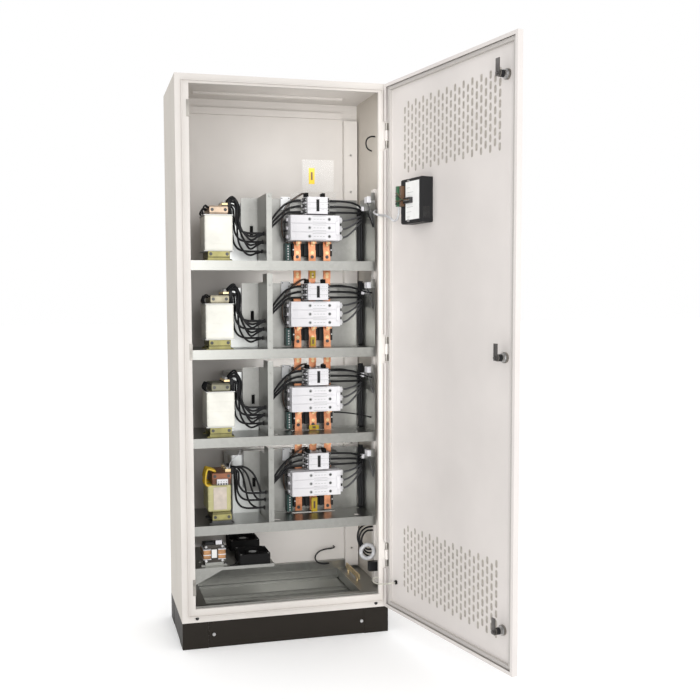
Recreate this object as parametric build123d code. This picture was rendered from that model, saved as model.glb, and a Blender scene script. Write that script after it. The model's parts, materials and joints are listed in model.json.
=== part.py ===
"""Free-standing power factor correction cabinet with four reactor and contactor racks.

Frame: +Z up, origin on the floor at the centre of the plinth, +X to the right of a person
facing the open front, -Y out of the front.  Millimetres.  The door is drawn open.
"""
import math
import os

from build123d import *

# ---- driving dimensions -------------------------------------------------------------
WIDTH = 800.0
DEPTH = 400.0
BODY_HEIGHT = 2000.0
PLINTH_HEIGHT = 100.0
TOP = PLINTH_HEIGHT + BODY_HEIGHT
SHEET = 2.0
HALF = WIDTH / 2

LEFT_STILE = 50.0
RIGHT_STILE = 38.0
TOP_RAIL = 33.0
BOTTOM_RAIL = 50.0
FRAME_LIP = 12.0
GUTTER_INSET = 23.0
GUTTER_HEIGHT = 10.0
SCREW_X = (-345.0, 350.0)
SCREW_Z = 116.0
COVER_SCREW_X = (-283.0, 292.0)

HINGE_X = 390.0
HINGE_D = -14.0
HINGE_Z = (1906.0, 1104.0, 308.0)
DOOR_OPEN = 101.8
DOOR_FREE_S = 785.0
DOOR_HINGE_S = -5.0
DOOR_BOTTOM = 105.0
DOOR_TOP = 2095.0
DOOR_SKIN_FRONT = -25.0
DOOR_RIM_BACK = -5.0
DOOR_SKIN_BACK = DOOR_SKIN_FRONT + SHEET

VENT_S = (108.0, 683.0)
VENT_COLUMNS = 24
VENT_ROWS = 8
VENT_ROW_PITCH = 33.0
SLOT_WIDTH = 13.0
SLOT_HEIGHT = 26.0
VENT_CENTRES_Z = (1880.0, 322.0)

LOCK_S = 715.0
LOCK_Z = (1978.0, 1105.0, 232.0)

TRAY_TOPS = (1439.0, 1109.0, 779.0, 449.0)
TRAY_X = (-372.0, 365.0)
TRAY_D = (45.0, 365.0)
TRAY_LIP = 36.0
FRONT_POST_TOP = 1720.0
DIVIDER_X = (-60.0, -58.0)
PLATE_D = (220.0, 222.0)
PLATE_X = (-126.0, 344.0)
RACK_SIDE_HEIGHT = 250.0
GROMMET_D = (100.0, 118.0, 136.0)
GROMMET_UP = (105.0, 74.0, 39.0)

BAR_X = (87.0, 147.0, 207.0)
BAR_WIDTH = 28.0
BAR_D = (180.0, 185.0)
LINK_D = (175.0, 180.0)

CONTACTOR_X = (104.0, 200.0)
CONTACTOR_D = (103.0, 168.0)
CONTACTOR_UP = (182.0, 248.0)
SLIDER_X = 153.0

REACTOR_ENDS = (72.0, 206.0)

FUSE_X = (42.0, 240.0)
FUSE_UP = (80.0, 178.0)
FUSE_BASE_D = (122.0, 180.0)
FUSE_LID_D = (98.0, 121.0)

CABLE_DIAMETER = 8.0
FUSE_CABLE_DIAMETER = 7.5
WIRE = 6.0
FAN_SIZE = 120.0
FAN_THICKNESS = 38.0
FAN_CENTRES = ((-115.0, 110.0), (-115.0, 328.0))
SHELF_TOP = 290.0

CONTROLLER_S = (170.0, 302.0)
CONTROLLER_Z = (1560.0, 1718.0)
CONTROLLER_BACK = 40.0
KEY_COUNT = 4

os.makedirs("parts", exist_ok=True)


# ---- helpers ------------------------------------------------------------------------
def block(x, d, z):
    """Box between two X values, two depths behind the front face and two heights."""
    width, depth, height = x[1] - x[0], d[1] - d[0], z[1] - z[0]
    centre = ((x[0] + x[1]) / 2, (d[0] + d[1]) / 2 - DEPTH / 2, (z[0] + z[1]) / 2)
    return Pos(*centre) * Box(width, depth, height)


def rounded(x, d, z, radius, axis=Axis.Z):
    """Box whose four edges along an axis are rounded."""
    body = block(x, d, z)
    return fillet(body.edges().filter_by(axis), radius)


def point(x, d, z):
    return (x, d - DEPTH / 2, z)


def rod(start, end, radius):
    """Cylinder between two points given as x, depth, z."""
    a, b = Vector(*point(*start)), Vector(*point(*end))
    line = b - a
    plane = Plane(origin=a, z_dir=line.normalized())
    return extrude(plane * Circle(radius), line.length)


def joined(first, *rest):
    """Fuse solids into one."""
    for other in rest:
        first = first + other
    return first


def cut(first, *rest):
    """Take solids away from the first."""
    for other in rest:
        first = first - other
    return first


def save(name, solids):
    """Write one node as a group of separate solids."""
    if not isinstance(solids, (list, tuple)):
        solids = [solids]
    plain = [s for shape in solids for s in shape.solids()]
    shape = plain[0] if len(plain) == 1 else Compound(children=plain)
    export_step(shape, f"parts/{name}.step")


HINGE_AXIS = Axis(point(HINGE_X, HINGE_D, 0), (0, 0, 1))


def on_door(solids):
    """Swing solids drawn on the closed door to the open position."""
    if isinstance(solids, (list, tuple)):
        return [shape.rotate(HINGE_AXIS, DOOR_OPEN) for shape in solids]
    return solids.rotate(HINGE_AXIS, DOOR_OPEN)


def door_x(s):
    """X on the closed door of a distance from the hinge axis."""
    return HINGE_X - s


def door_block(s, d, z):
    return block((door_x(s[1]), door_x(s[0])), d, z)


def cable(points, diameter=CABLE_DIAMETER):
    """Round cable along straight runs joined by the largest tangent arcs that fit."""
    route = [Vector(*point(*p)) for p in points]
    room = [0.45 * (b - a).length for a, b in zip(route, route[1:])]
    room[0] *= 2
    room[-1] *= 2
    radii = []
    for n, (a, b, c) in enumerate(zip(route, route[1:], route[2:])):
        half_turn = math.radians((b - a).get_angle(c - b)) / 2
        radii.append(min(room[n], room[n + 1]) / math.tan(half_turn))
    path = FilletPolyline(*route, radius=radii)
    start = Plane(origin=path @ 0, z_dir=path % 0)
    tube = sweep(start * Circle(diameter / 2), path=path)
    expected = math.pi * diameter ** 2 / 4 * path.length
    if abs(tube.volume / expected - 1) > 0.01:
        raise ValueError("cable volume differs from section times length")
    RADII.append((diameter, [round(r, 1) for r in radii]))
    return tube


RADII = []


# ---- enclosure ----------------------------------------------------------------------
def enclosure():
    wall_z = (PLINTH_HEIGHT, TOP - SHEET)
    wall_d = (SHEET, DEPTH - SHEET)
    sides = [block(x, wall_d, wall_z) for x in ((-HALF, -HALF + SHEET), (HALF - SHEET, HALF))]
    save("side_walls", sides)
    roof = block((-HALF, HALF), (SHEET, DEPTH), (TOP - SHEET, TOP))
    ribs = [block((-300, 300), (d, d + 22), (TOP - 10, TOP - SHEET)) for d in (110, 270)]
    save("roof_panel", joined(roof, *ribs))
    rear = block((-HALF, HALF), (DEPTH - SHEET, DEPTH), (PLINTH_HEIGHT, TOP - SHEET))
    stiffener = block((-330, 330), (DEPTH - 14, DEPTH - SHEET), (TOP - 62, TOP - 36))
    save("rear_panel", joined(rear, stiffener))


def front_frame():
    """Folded front surround with a return lip and a raised rain gutter."""
    inner_x = (-HALF + LEFT_STILE, HALF - RIGHT_STILE)
    inner_z = (PLINTH_HEIGHT + BOTTOM_RAIL, TOP - TOP_RAIL)
    face = block((-HALF, HALF), (0, SHEET), (PLINTH_HEIGHT, TOP))
    lip = block((inner_x[0] - SHEET, inner_x[1] + SHEET), (0, FRAME_LIP),
                (inner_z[0] - SHEET, inner_z[1] + SHEET))
    opening = block(inner_x, (-5, FRAME_LIP + 5), inner_z)
    g = HALF - GUTTER_INSET
    gutter_z = (PLINTH_HEIGHT + GUTTER_INSET, TOP - GUTTER_INSET)
    outer = block((-g, g), (-GUTTER_HEIGHT, 0), gutter_z)
    inside = block((-g + SHEET, g - SHEET), (-GUTTER_HEIGHT - 5, 5),
                   (gutter_z[0] + SHEET, gutter_z[1] - SHEET))
    gutter = outer - inside
    for z in HINGE_Z:
        gutter = gutter - block((300, HALF), (-20, 0), (z - 56, z + 56))
    frame = joined(face, lip, gutter) - opening
    holes = [rod((x, -5, SCREW_Z), (x, 8, SCREW_Z), 3.2) for x in SCREW_X]
    save("front_frame", cut(frame, *holes))


def base():
    """Galvanised floor frame, gland plates and the four-part plinth."""
    z = (118.0, 156.0)
    ring = block((-396, 396), (14, 396), z)
    well = block((-305, 300), (40, 370), (z[0] - 5, z[1] + 5))
    relief = block((-390, 390), (16, 394), (z[0] - 5, z[1] - SHEET))
    band = block((-307, 302), (38, 372), (z[0], z[1]))
    rear_member = block((-334, 334), (372, 374), (z[1] - SHEET, 190))
    rear_flange = block((-334, 334), (374, 392), (188, 190))
    shell = joined(ring - relief, band) - well
    save("base_frame", joined(shell, rear_member, rear_flange))
    plates = []
    for d in ((20.0, 199.0), (201.0, 390.0)):
        plate = block((-380, 380), d, (112.0, 114.0))
        turned = block((-300, 295), (d[0] + 24, d[0] + 26), (114.0, 124.0))
        turned_back = block((-300, 295), (d[1] - 26, d[1] - 24), (114.0, 124.0))
        plates.append(joined(plate, turned, turned_back))
    glands = [rod((x, 109.5, 105), (x, 109.5, 120), 20) for x in (-180, 0, 180)]
    plates[0] = cut(plates[0], *glands)
    save("gland_plates", plates)
    corner = 97.0
    corners = []
    for sx in (-1, 1):
        for front in (True, False):
            x0, x1 = sorted((sx * HALF, sx * (HALF - corner)))
            d0, d1 = (0.0, corner) if front else (DEPTH - corner, DEPTH)
            piece = block((x0, x1), (d0, d1), (0, PLINTH_HEIGHT))
            xi0, xi1 = sorted((sx * (HALF - 3), sx * (HALF - corner - 5)))
            di0, di1 = (3.0, corner + 5) if front else (DEPTH - corner - 5, DEPTH - 3)
            piece = piece - block((xi0, xi1), (di0, di1), (3, PLINTH_HEIGHT - 3))
            foot_d = 60.0 if front else DEPTH - 60.0
            piece = piece - rod((sx * 345.0, foot_d, -5), (sx * 345.0, foot_d, 5), 7.0)
            corners.append(piece)
    save("plinth_corners", corners)
    span_x = (-HALF + corner + 0.5, HALF - corner - 0.5)
    span_d = (corner + 0.5, DEPTH - corner - 0.5)
    covers = [block(span_x, (1.0, 3.0), (1, 99)), block(span_x, (DEPTH - 3, DEPTH - 1), (1, 99)),
              block((-HALF + 1, -HALF + 3), span_d, (1, 99)),
              block((HALF - 3, HALF - 1), span_d, (1, 99))]
    tabs = [block((x - 12, x + 12), (3.0, 6.0), (20, 80)) for x in (-290, 290)]
    covers[0] = joined(covers[0], *tabs)
    save("plinth_covers", covers)


def fixings():
    """Visible screws of the front frame and the plinth covers."""
    screws = []
    for x in SCREW_X:
        head = rod((x, -2.5, SCREW_Z), (x, 0, SCREW_Z), 5.5)
        shank = rod((x, 0, SCREW_Z), (x, 9, SCREW_Z), 3.0)
        screws.append(joined(head, shank) - rod((x, -4, SCREW_Z), (x, -1, SCREW_Z), 2.2))
    for x in COVER_SCREW_X:
        head = rod((x, -2.0, 50), (x, 1.0, 50), 6.0)
        screws.append(head - rod((x, -4, 50), (x, -0.5, 50), 2.5))
    save("cabinet_screws", screws)


def hinges():
    """Frame brackets, pins and door leaves of the three hinges."""
    brackets, pins, leaves = [], [], []
    for z in HINGE_Z:
        plate = block((375, 389), (-3, 0), (z - 47, z + 47))
        arm = block((382, 389), (HINGE_D, -3), (z - 19, z + 19))
        knuckle = rod((HINGE_X, HINGE_D, z - 19), (HINGE_X, HINGE_D, z + 19), 5.0)
        bore = rod((HINGE_X, HINGE_D, z - 60), (HINGE_X, HINGE_D, z + 60), 2.5)
        brackets.append(joined(plate, arm, knuckle) - bore)
        pins.append(rod((HINGE_X, HINGE_D, z - 46), (HINGE_X, HINGE_D, z + 46), 2.5))
        bore = rod((HINGE_X, HINGE_D, z - 60), (HINGE_X, HINGE_D, z + 60), 2.55)
        for lo, hi in ((z - 46, z - 20), (z + 20, z + 46)):
            leaf = door_block((0, 18), (DOOR_SKIN_BACK, -19), (lo, hi))
            web = door_block((0, 5), (DOOR_SKIN_BACK, HINGE_D), (lo, hi))
            eye = rod((HINGE_X, HINGE_D, lo), (HINGE_X, HINGE_D, hi), 5.0)
            leaves.append(joined(leaf, web, eye) - bore)
    save("hinge_brackets", brackets)
    save("hinge_pins", pins)
    save("hinge_leaves", on_door(leaves))


def uprights():
    """Four punched rack uprights and the lock keepers on the left stile."""
    posts = []
    for sx in (-1, 1):
        x0, x1 = sorted((sx * 336.0, sx * 392.0))
        rear = block((x0, x1), (370, 396), (166, TOP - 70))
        inner = block((x0 + SHEET, x1 - SHEET), (372, 400), (160, TOP - 60))
        rear = rear - inner
        for n in range(12):
            z = 240 + n * 150
            rear = rear - rod((sx * 364.0, 365, z), (sx * 364.0, 375, z), 4.0)
        posts.append(rear)
        x0, x1 = sorted((sx * 374.0, sx * 397.0))
        front = block((x0, x1), (96, 126), (166, FRONT_POST_TOP))
        hollow = block((min(sx * 376, sx * 399), max(sx * 376, sx * 399)), (98, 124),
                       (160, FRONT_POST_TOP + 10))
        posts.append(front - hollow)
    save("rack_uprights", posts)
    keepers = []
    for z in LOCK_Z:
        edge = -HALF + LEFT_STILE
        plate = block((-376, edge + 2), (FRAME_LIP, 14), (z - 30, z + 30))
        stop = block((-376, edge), (14, 26), (z - 30, z - 12))
        side = block((edge, edge + 2), (-1.5, 14), (z - 30, z + 30))
        front = block((edge - 9, edge + 2), (-1.5, 0), (z - 30, z + 30))
        keepers.append(joined(plate, stop, side, front))
    save("lock_keepers", keepers)


def wall_trim():
    """Open cable rings on the right wall and the back wall, and the earth bar."""
    x = HALF - SHEET
    d = 150.0
    z = 1902.0
    rings = [cable([(x, d, z + 29), (x - 18, d, z + 29), (x - 34, d + 1, z + 19),
                    (x - 38, d + 2, z), (x - 32, d + 1, z - 20), (x - 14, d, z - 28)], WIRE)]
    back = DEPTH - SHEET
    rings.append(cable([(290, back, 246), (290, back - 24, 246), (274, back - 40, 247),
                        (244, back - 40, 246), (214, back - 40, 238), (196, back - 40, 214),
                        (208, back - 40, 190), (236, back - 40, 182), (260, back - 39, 184)],
                       WIRE))
    save("cable_rings", rings)
    bar = block((326, 332), (150, 330), (168, 188))
    holes = [rod((320, d, 178), (340, d, 178), 3.0) for d in range(165, 320, 25)]
    posts = [rod((329, d, 156), (329, d, 168), 5.0) for d in (178, 302)]
    save("earth_bar", [cut(bar, *holes)] + posts)


# ---- racks --------------------------------------------------------------------------
def tray(top):
    """Folded shelf with lips turned down and a window for the bars."""
    floor = block(TRAY_X, TRAY_D, (top - SHEET, top))
    lip = block(TRAY_X, (TRAY_D[0], TRAY_D[0] + SHEET), (top - TRAY_LIP, top))
    back = block(TRAY_X, (TRAY_D[1] - SHEET, TRAY_D[1]), (top - 20, top))
    window = block((60, 235), (170, 192), (top - 10, top + 5))
    ears = [block((TRAY_X[1], 374), (100, 122), (top - 30, top)),
            block((-374, TRAY_X[0]), (100, 122), (top - 30, top))]
    holes = [rod((x, 90, top - 10), (x, 90, top + 5), 12.0) for x in (-20, 300)]
    return cut(joined(floor, lip, back, *ears), window, *holes)


def mounting_plate(top):
    """Upright plate, its rounded left wing and the bridge that carries the contactor."""
    z = (top, top + RACK_SIDE_HEIGHT)
    main = block((DIVIDER_X[1], PLATE_X[1]), PLATE_D, z)
    wing = block((PLATE_X[0], DIVIDER_X[1]), PLATE_D, (top + 88, z[1]))
    corner = wing.edges().filter_by(Axis.Y).group_by(Axis.X)[0].sort_by(Axis.Z)[0]
    wing = fillet(corner, 24)
    slot = rounded((-92, -78), (215, 226), (top + 104, top + 144), 6.5, Axis.Y)
    main = joined(main, wing)
    foot = block((DIVIDER_X[1], PLATE_X[1]), (200, 220), (top, top + SHEET))
    foot = foot - block((55, 240), (190, 222), (top - 5, top + 5))
    plate = joined(main, foot) - slot
    bridge = block((58, 246), (168, 170), (top + 190, top + 240))
    legs = [block((x, x + SHEET), (168, 220), (top + 190, top + 240)) for x in (58, 244)]
    return [plate, joined(bridge, *legs)]


def divider(top, height):
    """Front-to-back partition with a front flange and three cable holes, and the side plates."""
    web = block(DIVIDER_X, (50, 218), (top, top + height))
    flange = block((DIVIDER_X[0], -39), (50, 52), (top, top + height))
    foot = block((DIVIDER_X[0], -40), (60, 200), (top, top + SHEET))
    slope = block((DIVIDER_X[0] - 5, DIVIDER_X[1] + 0.01), (130, 225), (top + 252, top + 300))
    partition = joined(web, flange, foot) - slope
    for d, up in zip(GROMMET_D, GROMMET_UP):
        partition = partition - rod((-70, d, top + up), (-50, d, top + up), CABLE_DIAMETER / 2 + 1.5)
    right = block((363, 365), (47, 236), (top, top + RACK_SIDE_HEIGHT))
    right_flange = block((347, 363), (47, 49), (top + 232, top + 262))
    left = block((-372, -370), (47, 236), (top, top + 120))
    return [partition, joined(right, right_flange), left]


def reactor(top, small):
    """Three-phase iron-cored reactor seen from its end: core, coils and terminals."""
    shrink = 9.0 if small else 0.0
    core_x = (-276.0 + shrink / 2, -197.0 - shrink / 2)
    coil_x = (-290.0, -182.0 - 2 * shrink)
    coil_z = (top + 38 + shrink, top + 169 - shrink / 2)
    yoke = 34.0
    core_z = (top + 12, top + 203 - shrink)
    ends = REACTOR_ENDS
    core = block(core_x, ends, core_z)
    coils, terminals = [], []
    pitch = (ends[1] - ends[0]) / 3
    limb = 19.0
    for n in range(3):
        centre = ends[0] + pitch * (n + 0.5)
        half = pitch / 2 - 0.75
        coil = rounded(coil_x, (centre - half, centre + half), coil_z, 9.0)
        bore = block((core_x[0] - 0.5, core_x[1] + 0.5), (centre - limb / 2, centre + limb / 2),
                     (coil_z[0] - 5, coil_z[1] + 5))
        coils.append(coil - bore)
        lug_z = core_z[1]
        foot = block((-222, -200), (centre - 9, centre + 9), (lug_z, lug_z + 12))
        stud = rod((-208, centre, lug_z + 12), (-208, centre, lug_z + 22), 4.0)
        terminals.append(joined(foot, stud))
    for n in range(4):
        edge = ends[0] + pitch * n
        lo = max(edge - (pitch - limb) / 2, ends[0])
        hi = min(edge + (pitch - limb) / 2, ends[1])
        core = core - block((core_x[0] - 5, core_x[1] + 5), (lo - (n == 0), hi + (n == 3)),
                            (core_z[0] + yoke - 8, core_z[1] - yoke + shrink / 2))
    feet = [block((core_x[0] - 12, core_x[1] + 12), d, (top, top + 12))
            for d in ((74.0, 94.0), (184.0, 204.0))]
    return joined(core, *feet), coils, terminals


def capacitor(top):
    """Box-cased power capacitor of three round-ended units with a side terminal block."""
    units = []
    for n in range(3):
        x0 = -185 + n * 171.0
        units.append(rounded((x0, x0 + 169.0), (240, 362), (top, top + 232), 22))
    terminal = block((333, 362), (250, 290), (top + 40, top + 238))
    bridge = block((326, 333), (262, 290), (top + 40, top + 200))
    return units + [joined(terminal, bridge)]


def contactor(top):
    """Three-pole contactor lying on its side, with a window for its armature."""
    z = (top + CONTACTOR_UP[0], top + CONTACTOR_UP[1])
    body = block((CONTACTOR_X[0] + 6, CONTACTOR_X[1] - 6), CONTACTOR_D, z)
    base_part = block(CONTACTOR_X, (CONTACTOR_D[0] + 18, CONTACTOR_D[1]), z)
    shape = joined(body, base_part)
    window = block((SLIDER_X - 6, SLIDER_X + 6), (95, 140), (z[0] + 10, z[1] - 10))
    shape = shape - window
    screws = []
    for n in range(3):
        zc = z[0] + 11 + n * 22
        for x0, x1 in ((CONTACTOR_X[0] - 1, CONTACTOR_X[0] + 5),
                       (CONTACTOR_X[1] - 5, CONTACTOR_X[1] + 1)):
            shape = shape - block((x0, x1), (115, 132), (zc - 7, zc + 7))
    for x in (112.0, 178.0):
        screws.append(rounded((x - 7, x + 7), (118, 150), (z[1], z[1] + 14), 2.0))
    return [shape] + screws


def slider(top):
    """Armature head that moves inwards when the contactor pulls in."""
    z = (top + CONTACTOR_UP[0] + 11, top + CONTACTOR_UP[1] - 11)
    head = block((SLIDER_X - 5, SLIDER_X + 5), (106, 128), z)
    groove = block((SLIDER_X - 2, SLIDER_X + 2), (104, 108), (z[0] + 6, z[1] - 6))
    return head - groove


def fuse_row_heights(top):
    pitch = (FUSE_UP[1] - FUSE_UP[0]) / 3
    return [top + FUSE_UP[0] + pitch * (n + 0.5) for n in range(3)]


def fuse_base(top):
    """Fuse switch base clipped on the bars, with three fuse chambers."""
    z = (top + FUSE_UP[0], top + FUSE_UP[1])
    shape = block(FUSE_X, FUSE_BASE_D, z)
    for row in fuse_row_heights(top):
        shape = shape - block((66, 214), (118, 164), (row - 13, row + 13))
    terminals = []
    for row in fuse_row_heights(top):
        terminals.append(rounded((FUSE_X[1], 256), (130, 160), (row - 11, row + 11), 3.0))
    return [joined(shape, *terminals)]


def fuse_lid(top):
    """Swinging lid that carries three knife fuses; drawn closed."""
    z = (top + FUSE_UP[0] + 1, top + FUSE_UP[1] - 1)
    lid = block((FUSE_X[0] + 1, FUSE_X[1] - 1), FUSE_LID_D, z)
    lid = fillet(lid.edges().filter_by(Axis.Z).group_by(Axis.Y)[0], 5.0)
    for row in fuse_row_heights(top)[:2]:
        line = row + (FUSE_UP[1] - FUSE_UP[0]) / 6
        lid = lid - block((FUSE_X[0] - 5, FUSE_X[1] + 5), (FUSE_LID_D[0] - 1, FUSE_LID_D[0] + 1.2),
                          (line - 0.8, line + 0.8))
    for row in fuse_row_heights(top):
        for x in (118.0, 196.0):
            lid = lid - rod((x, FUSE_LID_D[0] - 2, row), (x, FUSE_LID_D[0] + 4, row), 4.0)
    grip = block((222, 236), (FUSE_LID_D[0] - 7, FUSE_LID_D[0]), (z[0] + 22, z[1] - 22))
    lid = joined(lid, grip)
    fuses = []
    for row in fuse_row_heights(top):
        body = block((104, 176), (122, 146), (row - 11, row + 11))
        blade = block((84, 104), (132, 138), (row - 7, row + 7))
        blade_far = block((176, 196), (132, 138), (row - 7, row + 7))
        neck = block((112, 168), (FUSE_LID_D[1], 122), (row - 8, row + 8))
        fuses.append(joined(body, blade, blade_far, neck))
    return [lid] + fuses


def bars():
    """Three vertical copper bars in rack lengths, the links between racks and the holders."""
    copper, holders = [], []
    for i, top in enumerate(TRAY_TOPS):
        upper = top + (178 if i == 0 else 305)
        for x in BAR_X:
            span = (x - BAR_WIDTH / 2, x + BAR_WIDTH / 2)
            copper.append(block(span, BAR_D, (top + 8, upper)))
            if i < len(TRAY_TOPS) - 1:
                copper.append(block(span, LINK_D, (top - 62, top + 48)))
        holder = block((64, 230), (BAR_D[1], PLATE_D[0]), (top + 24, top + 74))
        holders.append(holder)
        fins = [block((x - 4, x + 4), (170, BAR_D[1]), (top + 24, top + 74)) for x in (117, 177)]
        holders[-1] = joined(holder, *fins)
    save("busbars", copper)
    save("bar_holders", holders)


def coil_lead(n, top, lift):
    """Route of the cable from reactor terminal n to the right and down to its hole in the divider."""
    d = REACTOR_ENDS[0] + (REACTOR_ENDS[1] - REACTOR_ENDS[0]) / 3 * (n + 0.5)
    hole_d, hole_z = GROMMET_D[n], top + GROMMET_UP[n]
    lug = top + 209 + lift
    middle = top + 150 - 15 * n
    x = -168 - 2 * n
    return [(-200, d, lug), (x, d, lug), (x + 1, d * 0.8 + hole_d * 0.2, lug - 36),
            (x, d * 0.5 + hole_d * 0.5, middle),
            (x + 2, d * 0.1 + hole_d * 0.9, hole_z + 32),
            (x + 18, hole_d, hole_z + 8), (x + 44, hole_d, hole_z), (DIVIDER_X[0], hole_d, hole_z)]


def contactor_leads(top):
    """Routes of the cables from the contactor's left side to the divider, behind its flange."""
    low, mid, high = [top + CONTACTOR_UP[0] + 11 + 22 * n for n in range(3)]
    face = CONTACTOR_X[0]
    d = 146
    first = [(face, d, high), (80, d, high), (34, 138, high - 13), (-8, 120, high - 53),
             (-34, 106, high - 87), (-40, GROMMET_D[0], high - 109)]
    second = [(face, d, mid), (80, d, mid), (40, 142, mid - 11), (2, 132, mid - 43),
              (-28, 122, mid - 73), (-40, GROMMET_D[1], mid - 103)]
    third = [(face, d, low), (82, d, low), (40, d, low - 2), (8, 142, low - 33),
             (-24, 138, low - 61), (-40, GROMMET_D[2], low - 93)]
    routes = []
    for route, hole_d, up in zip((first, second, third), GROMMET_D, GROMMET_UP):
        routes.append(route + [(-40, hole_d, top + up + 10), (-50, hole_d, top + up),
                               (DIVIDER_X[1], hole_d, top + up)])
    return routes


def right_leads(top):
    """Routes of the contactor's and the fuse switch's cables to the gap beside the plate."""
    contactor_rows = [top + CONTACTOR_UP[0] + 11 + 22 * n for n in range(3)]
    end_x, end_d = 353.5, 250
    black = []
    for n, row in enumerate(contactor_rows):
        end = top + 193 + 10 * n
        drop = row - end
        black.append([(CONTACTOR_X[1], 146, row), (250, 146, row), (300, 148, row - drop * 0.15),
                      (334, 158, row - drop * 0.6), (end_x, 192, end), (end_x, end_d, end)])
    grey = []
    for n, row in enumerate(fuse_row_heights(top)):
        end = top + 163 + 10 * n
        rise = end - row
        grey.append([(256, 145, row), (274, 145, row), (311, 148, row + rise * 0.46),
                     (339, 164, row + rise * 0.89), (end_x, 196, end), (end_x, end_d, end)])
    return black, grey


def rack_cables():
    """Power cables of each rack, whole along their routes."""
    black, grey = [], []
    for i, top in enumerate(TRAY_TOPS):
        lift = -9.0 if i == 3 else 0.0
        right, fuse_side = right_leads(top)
        routes = [coil_lead(n, top, lift) for n in range(3)] + contactor_leads(top) + right
        black += [cable(route) for route in routes]
        grey += [cable(route, FUSE_CABLE_DIAMETER) for route in fuse_side]
    save("power_cables", black)
    save("fuse_cables", grey)


def racks():
    trays, plates, partitions, cores, coils, terminals = [], [], [], [], [], []
    capacitors, contactors, bases = [], [], []
    for i, top in enumerate(TRAY_TOPS):
        trays.append(tray(top))
        plates += mounting_plate(top)
        partitions += divider(top, 250 if i == 0 else 283)
        core, windings, lugs = reactor(top, small=(i == 3))
        cores.append(core)
        coils += windings
        terminals += lugs
        capacitors += capacitor(top)
        contactors += contactor(top)
        bases += fuse_base(top)
        save(f"contactor_slider_{i + 1}", slider(top))
        save(f"fuse_lid_{i + 1}", fuse_lid(top))
    save("rack_trays", trays)
    save("mounting_plates", plates)
    save("rack_partitions", partitions)
    save("reactor_cores", cores)
    save("reactor_coils", coils)
    save("reactor_terminals", terminals)
    save("capacitors", capacitors)
    save("contactor_bodies", contactors)
    save("fuse_bases", bases)
    bars()
    rack_cables()
    low, high = TRAY_TOPS[0] + 266, TRAY_TOPS[0] + 388
    shield = block((94, 218), (112, 114), (low, high))
    shelf = block((62, 242), (112, 168), (low, low + SHEET))
    tabs = [block(x, (166, 168), (low - 60, low)) for x in ((62, 96), (208, 242))]
    save("clear_shield", joined(shield, shelf, *tabs))


# ---- cooling and control gear under the racks ---------------------------------------
def fan(centre):
    """Axial fan lying flat: a square frame with a round duct, and its rotor."""
    x, d = centre
    half = FAN_SIZE / 2
    z = (SHELF_TOP, SHELF_TOP + FAN_THICKNESS)
    frame = rounded((x - half, x + half), (d - half, d + half), z, 6.0)
    duct = rod((x, d, z[0] - 5), (x, d, z[1] + 5), 57.0)
    frame = frame - duct
    for sx in (-1, 1):
        for sd in (-1, 1):
            frame = frame - rod((x + sx * 52.5, d + sd * 52.5, z[0] - 5),
                                (x + sx * 52.5, d + sd * 52.5, z[1] + 5), 2.2)
    motor = rod((x, d, z[0]), (x, d, z[0] + 8), 22.0)
    arms = [block((x - 58, x + 58), (d - 3, d + 3), (z[0], z[0] + 4)),
            block((x - 3, x + 3), (d - 58, d + 58), (z[0], z[0] + 4))]
    spindle = rod((x, d, z[0] + 8), (x, d, z[0] + 20), 3.0)
    frame = joined(frame, motor, *arms, spindle)
    hub = rod((x, d, z[0] + 10), (x, d, z[1] - 4), 24.0)
    blades = []
    for n in range(7):
        blade = Pos(40, 0, 0) * Rot(34, 0, 0) * Box(34, 26, 2.2)
        blade = Rot(0, 0, 360 / 7 * n) * blade
        blades.append(Pos(*point(x, d, SHELF_TOP + 22)) * blade)
    rotor = joined(hub, *blades)
    rotor = rotor & rod((x, d, z[0] + 6), (x, d, z[1] - 1), 55.0)
    rotor = rotor - rod((x, d, z[0]), (x, d, z[0] + 24), 3.06)
    return frame, rotor


def lower_shelf():
    """Shelf for fans and control transformer, with a sloped stiffening lip on the left."""
    plate = block((-372, -42), (45, 365), (SHELF_TOP - SHEET, SHELF_TOP))
    lip = block((-372, -42), (45, 47), (SHELF_TOP - 12, SHELF_TOP))
    outline = Polyline(point(-372, 45, 290), point(-372, 45, 226), point(-348, 45, 226),
                       point(-235, 45, 282), point(-235, 45, 290), close=True)
    gusset = extrude(make_face(outline), amount=SHEET, dir=(0, 1, 0))
    shelf = joined(plate, lip, gusset)
    for x, d in FAN_CENTRES:
        shelf = shelf - rod((x, d, SHELF_TOP - 10), (x, d, SHELF_TOP + 5), 55.0)
    side = block((-374, -372), (96, 124), (SHELF_TOP - 12, SHELF_TOP))
    save("lower_shelf", joined(shelf, side))
    frames = []
    for n, centre in enumerate(FAN_CENTRES):
        frame, rotor = fan(centre)
        frames.append(frame)
        save(f"fan_rotor_{n + 1}", rotor)
    save("fan_frames", frames)
    z = SHELF_TOP
    core = joined(block((-305, -231), (70, 146), (z + 12, z + 26)),
                  block((-305, -231), (70, 146), (z + 66, z + 80)),
                  block((-280, -256), (70, 146), (z + 26, z + 66)))
    feet = [block((-318, -218), d, (z, z + 12)) for d in ((72, 84), (132, 144))]
    pieces = [joined(core, *feet)]
    for x in ((-311, -281), (-255, -225)):
        winding = rounded(x, (60, 156), (z + 27, z + 65), 6.0)
        pieces.append(winding)
    pieces.append(rounded((-262, -238), (72, 92), (z + 80, z + 96), 2.0))
    save("control_transformer", pieces)


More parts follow.
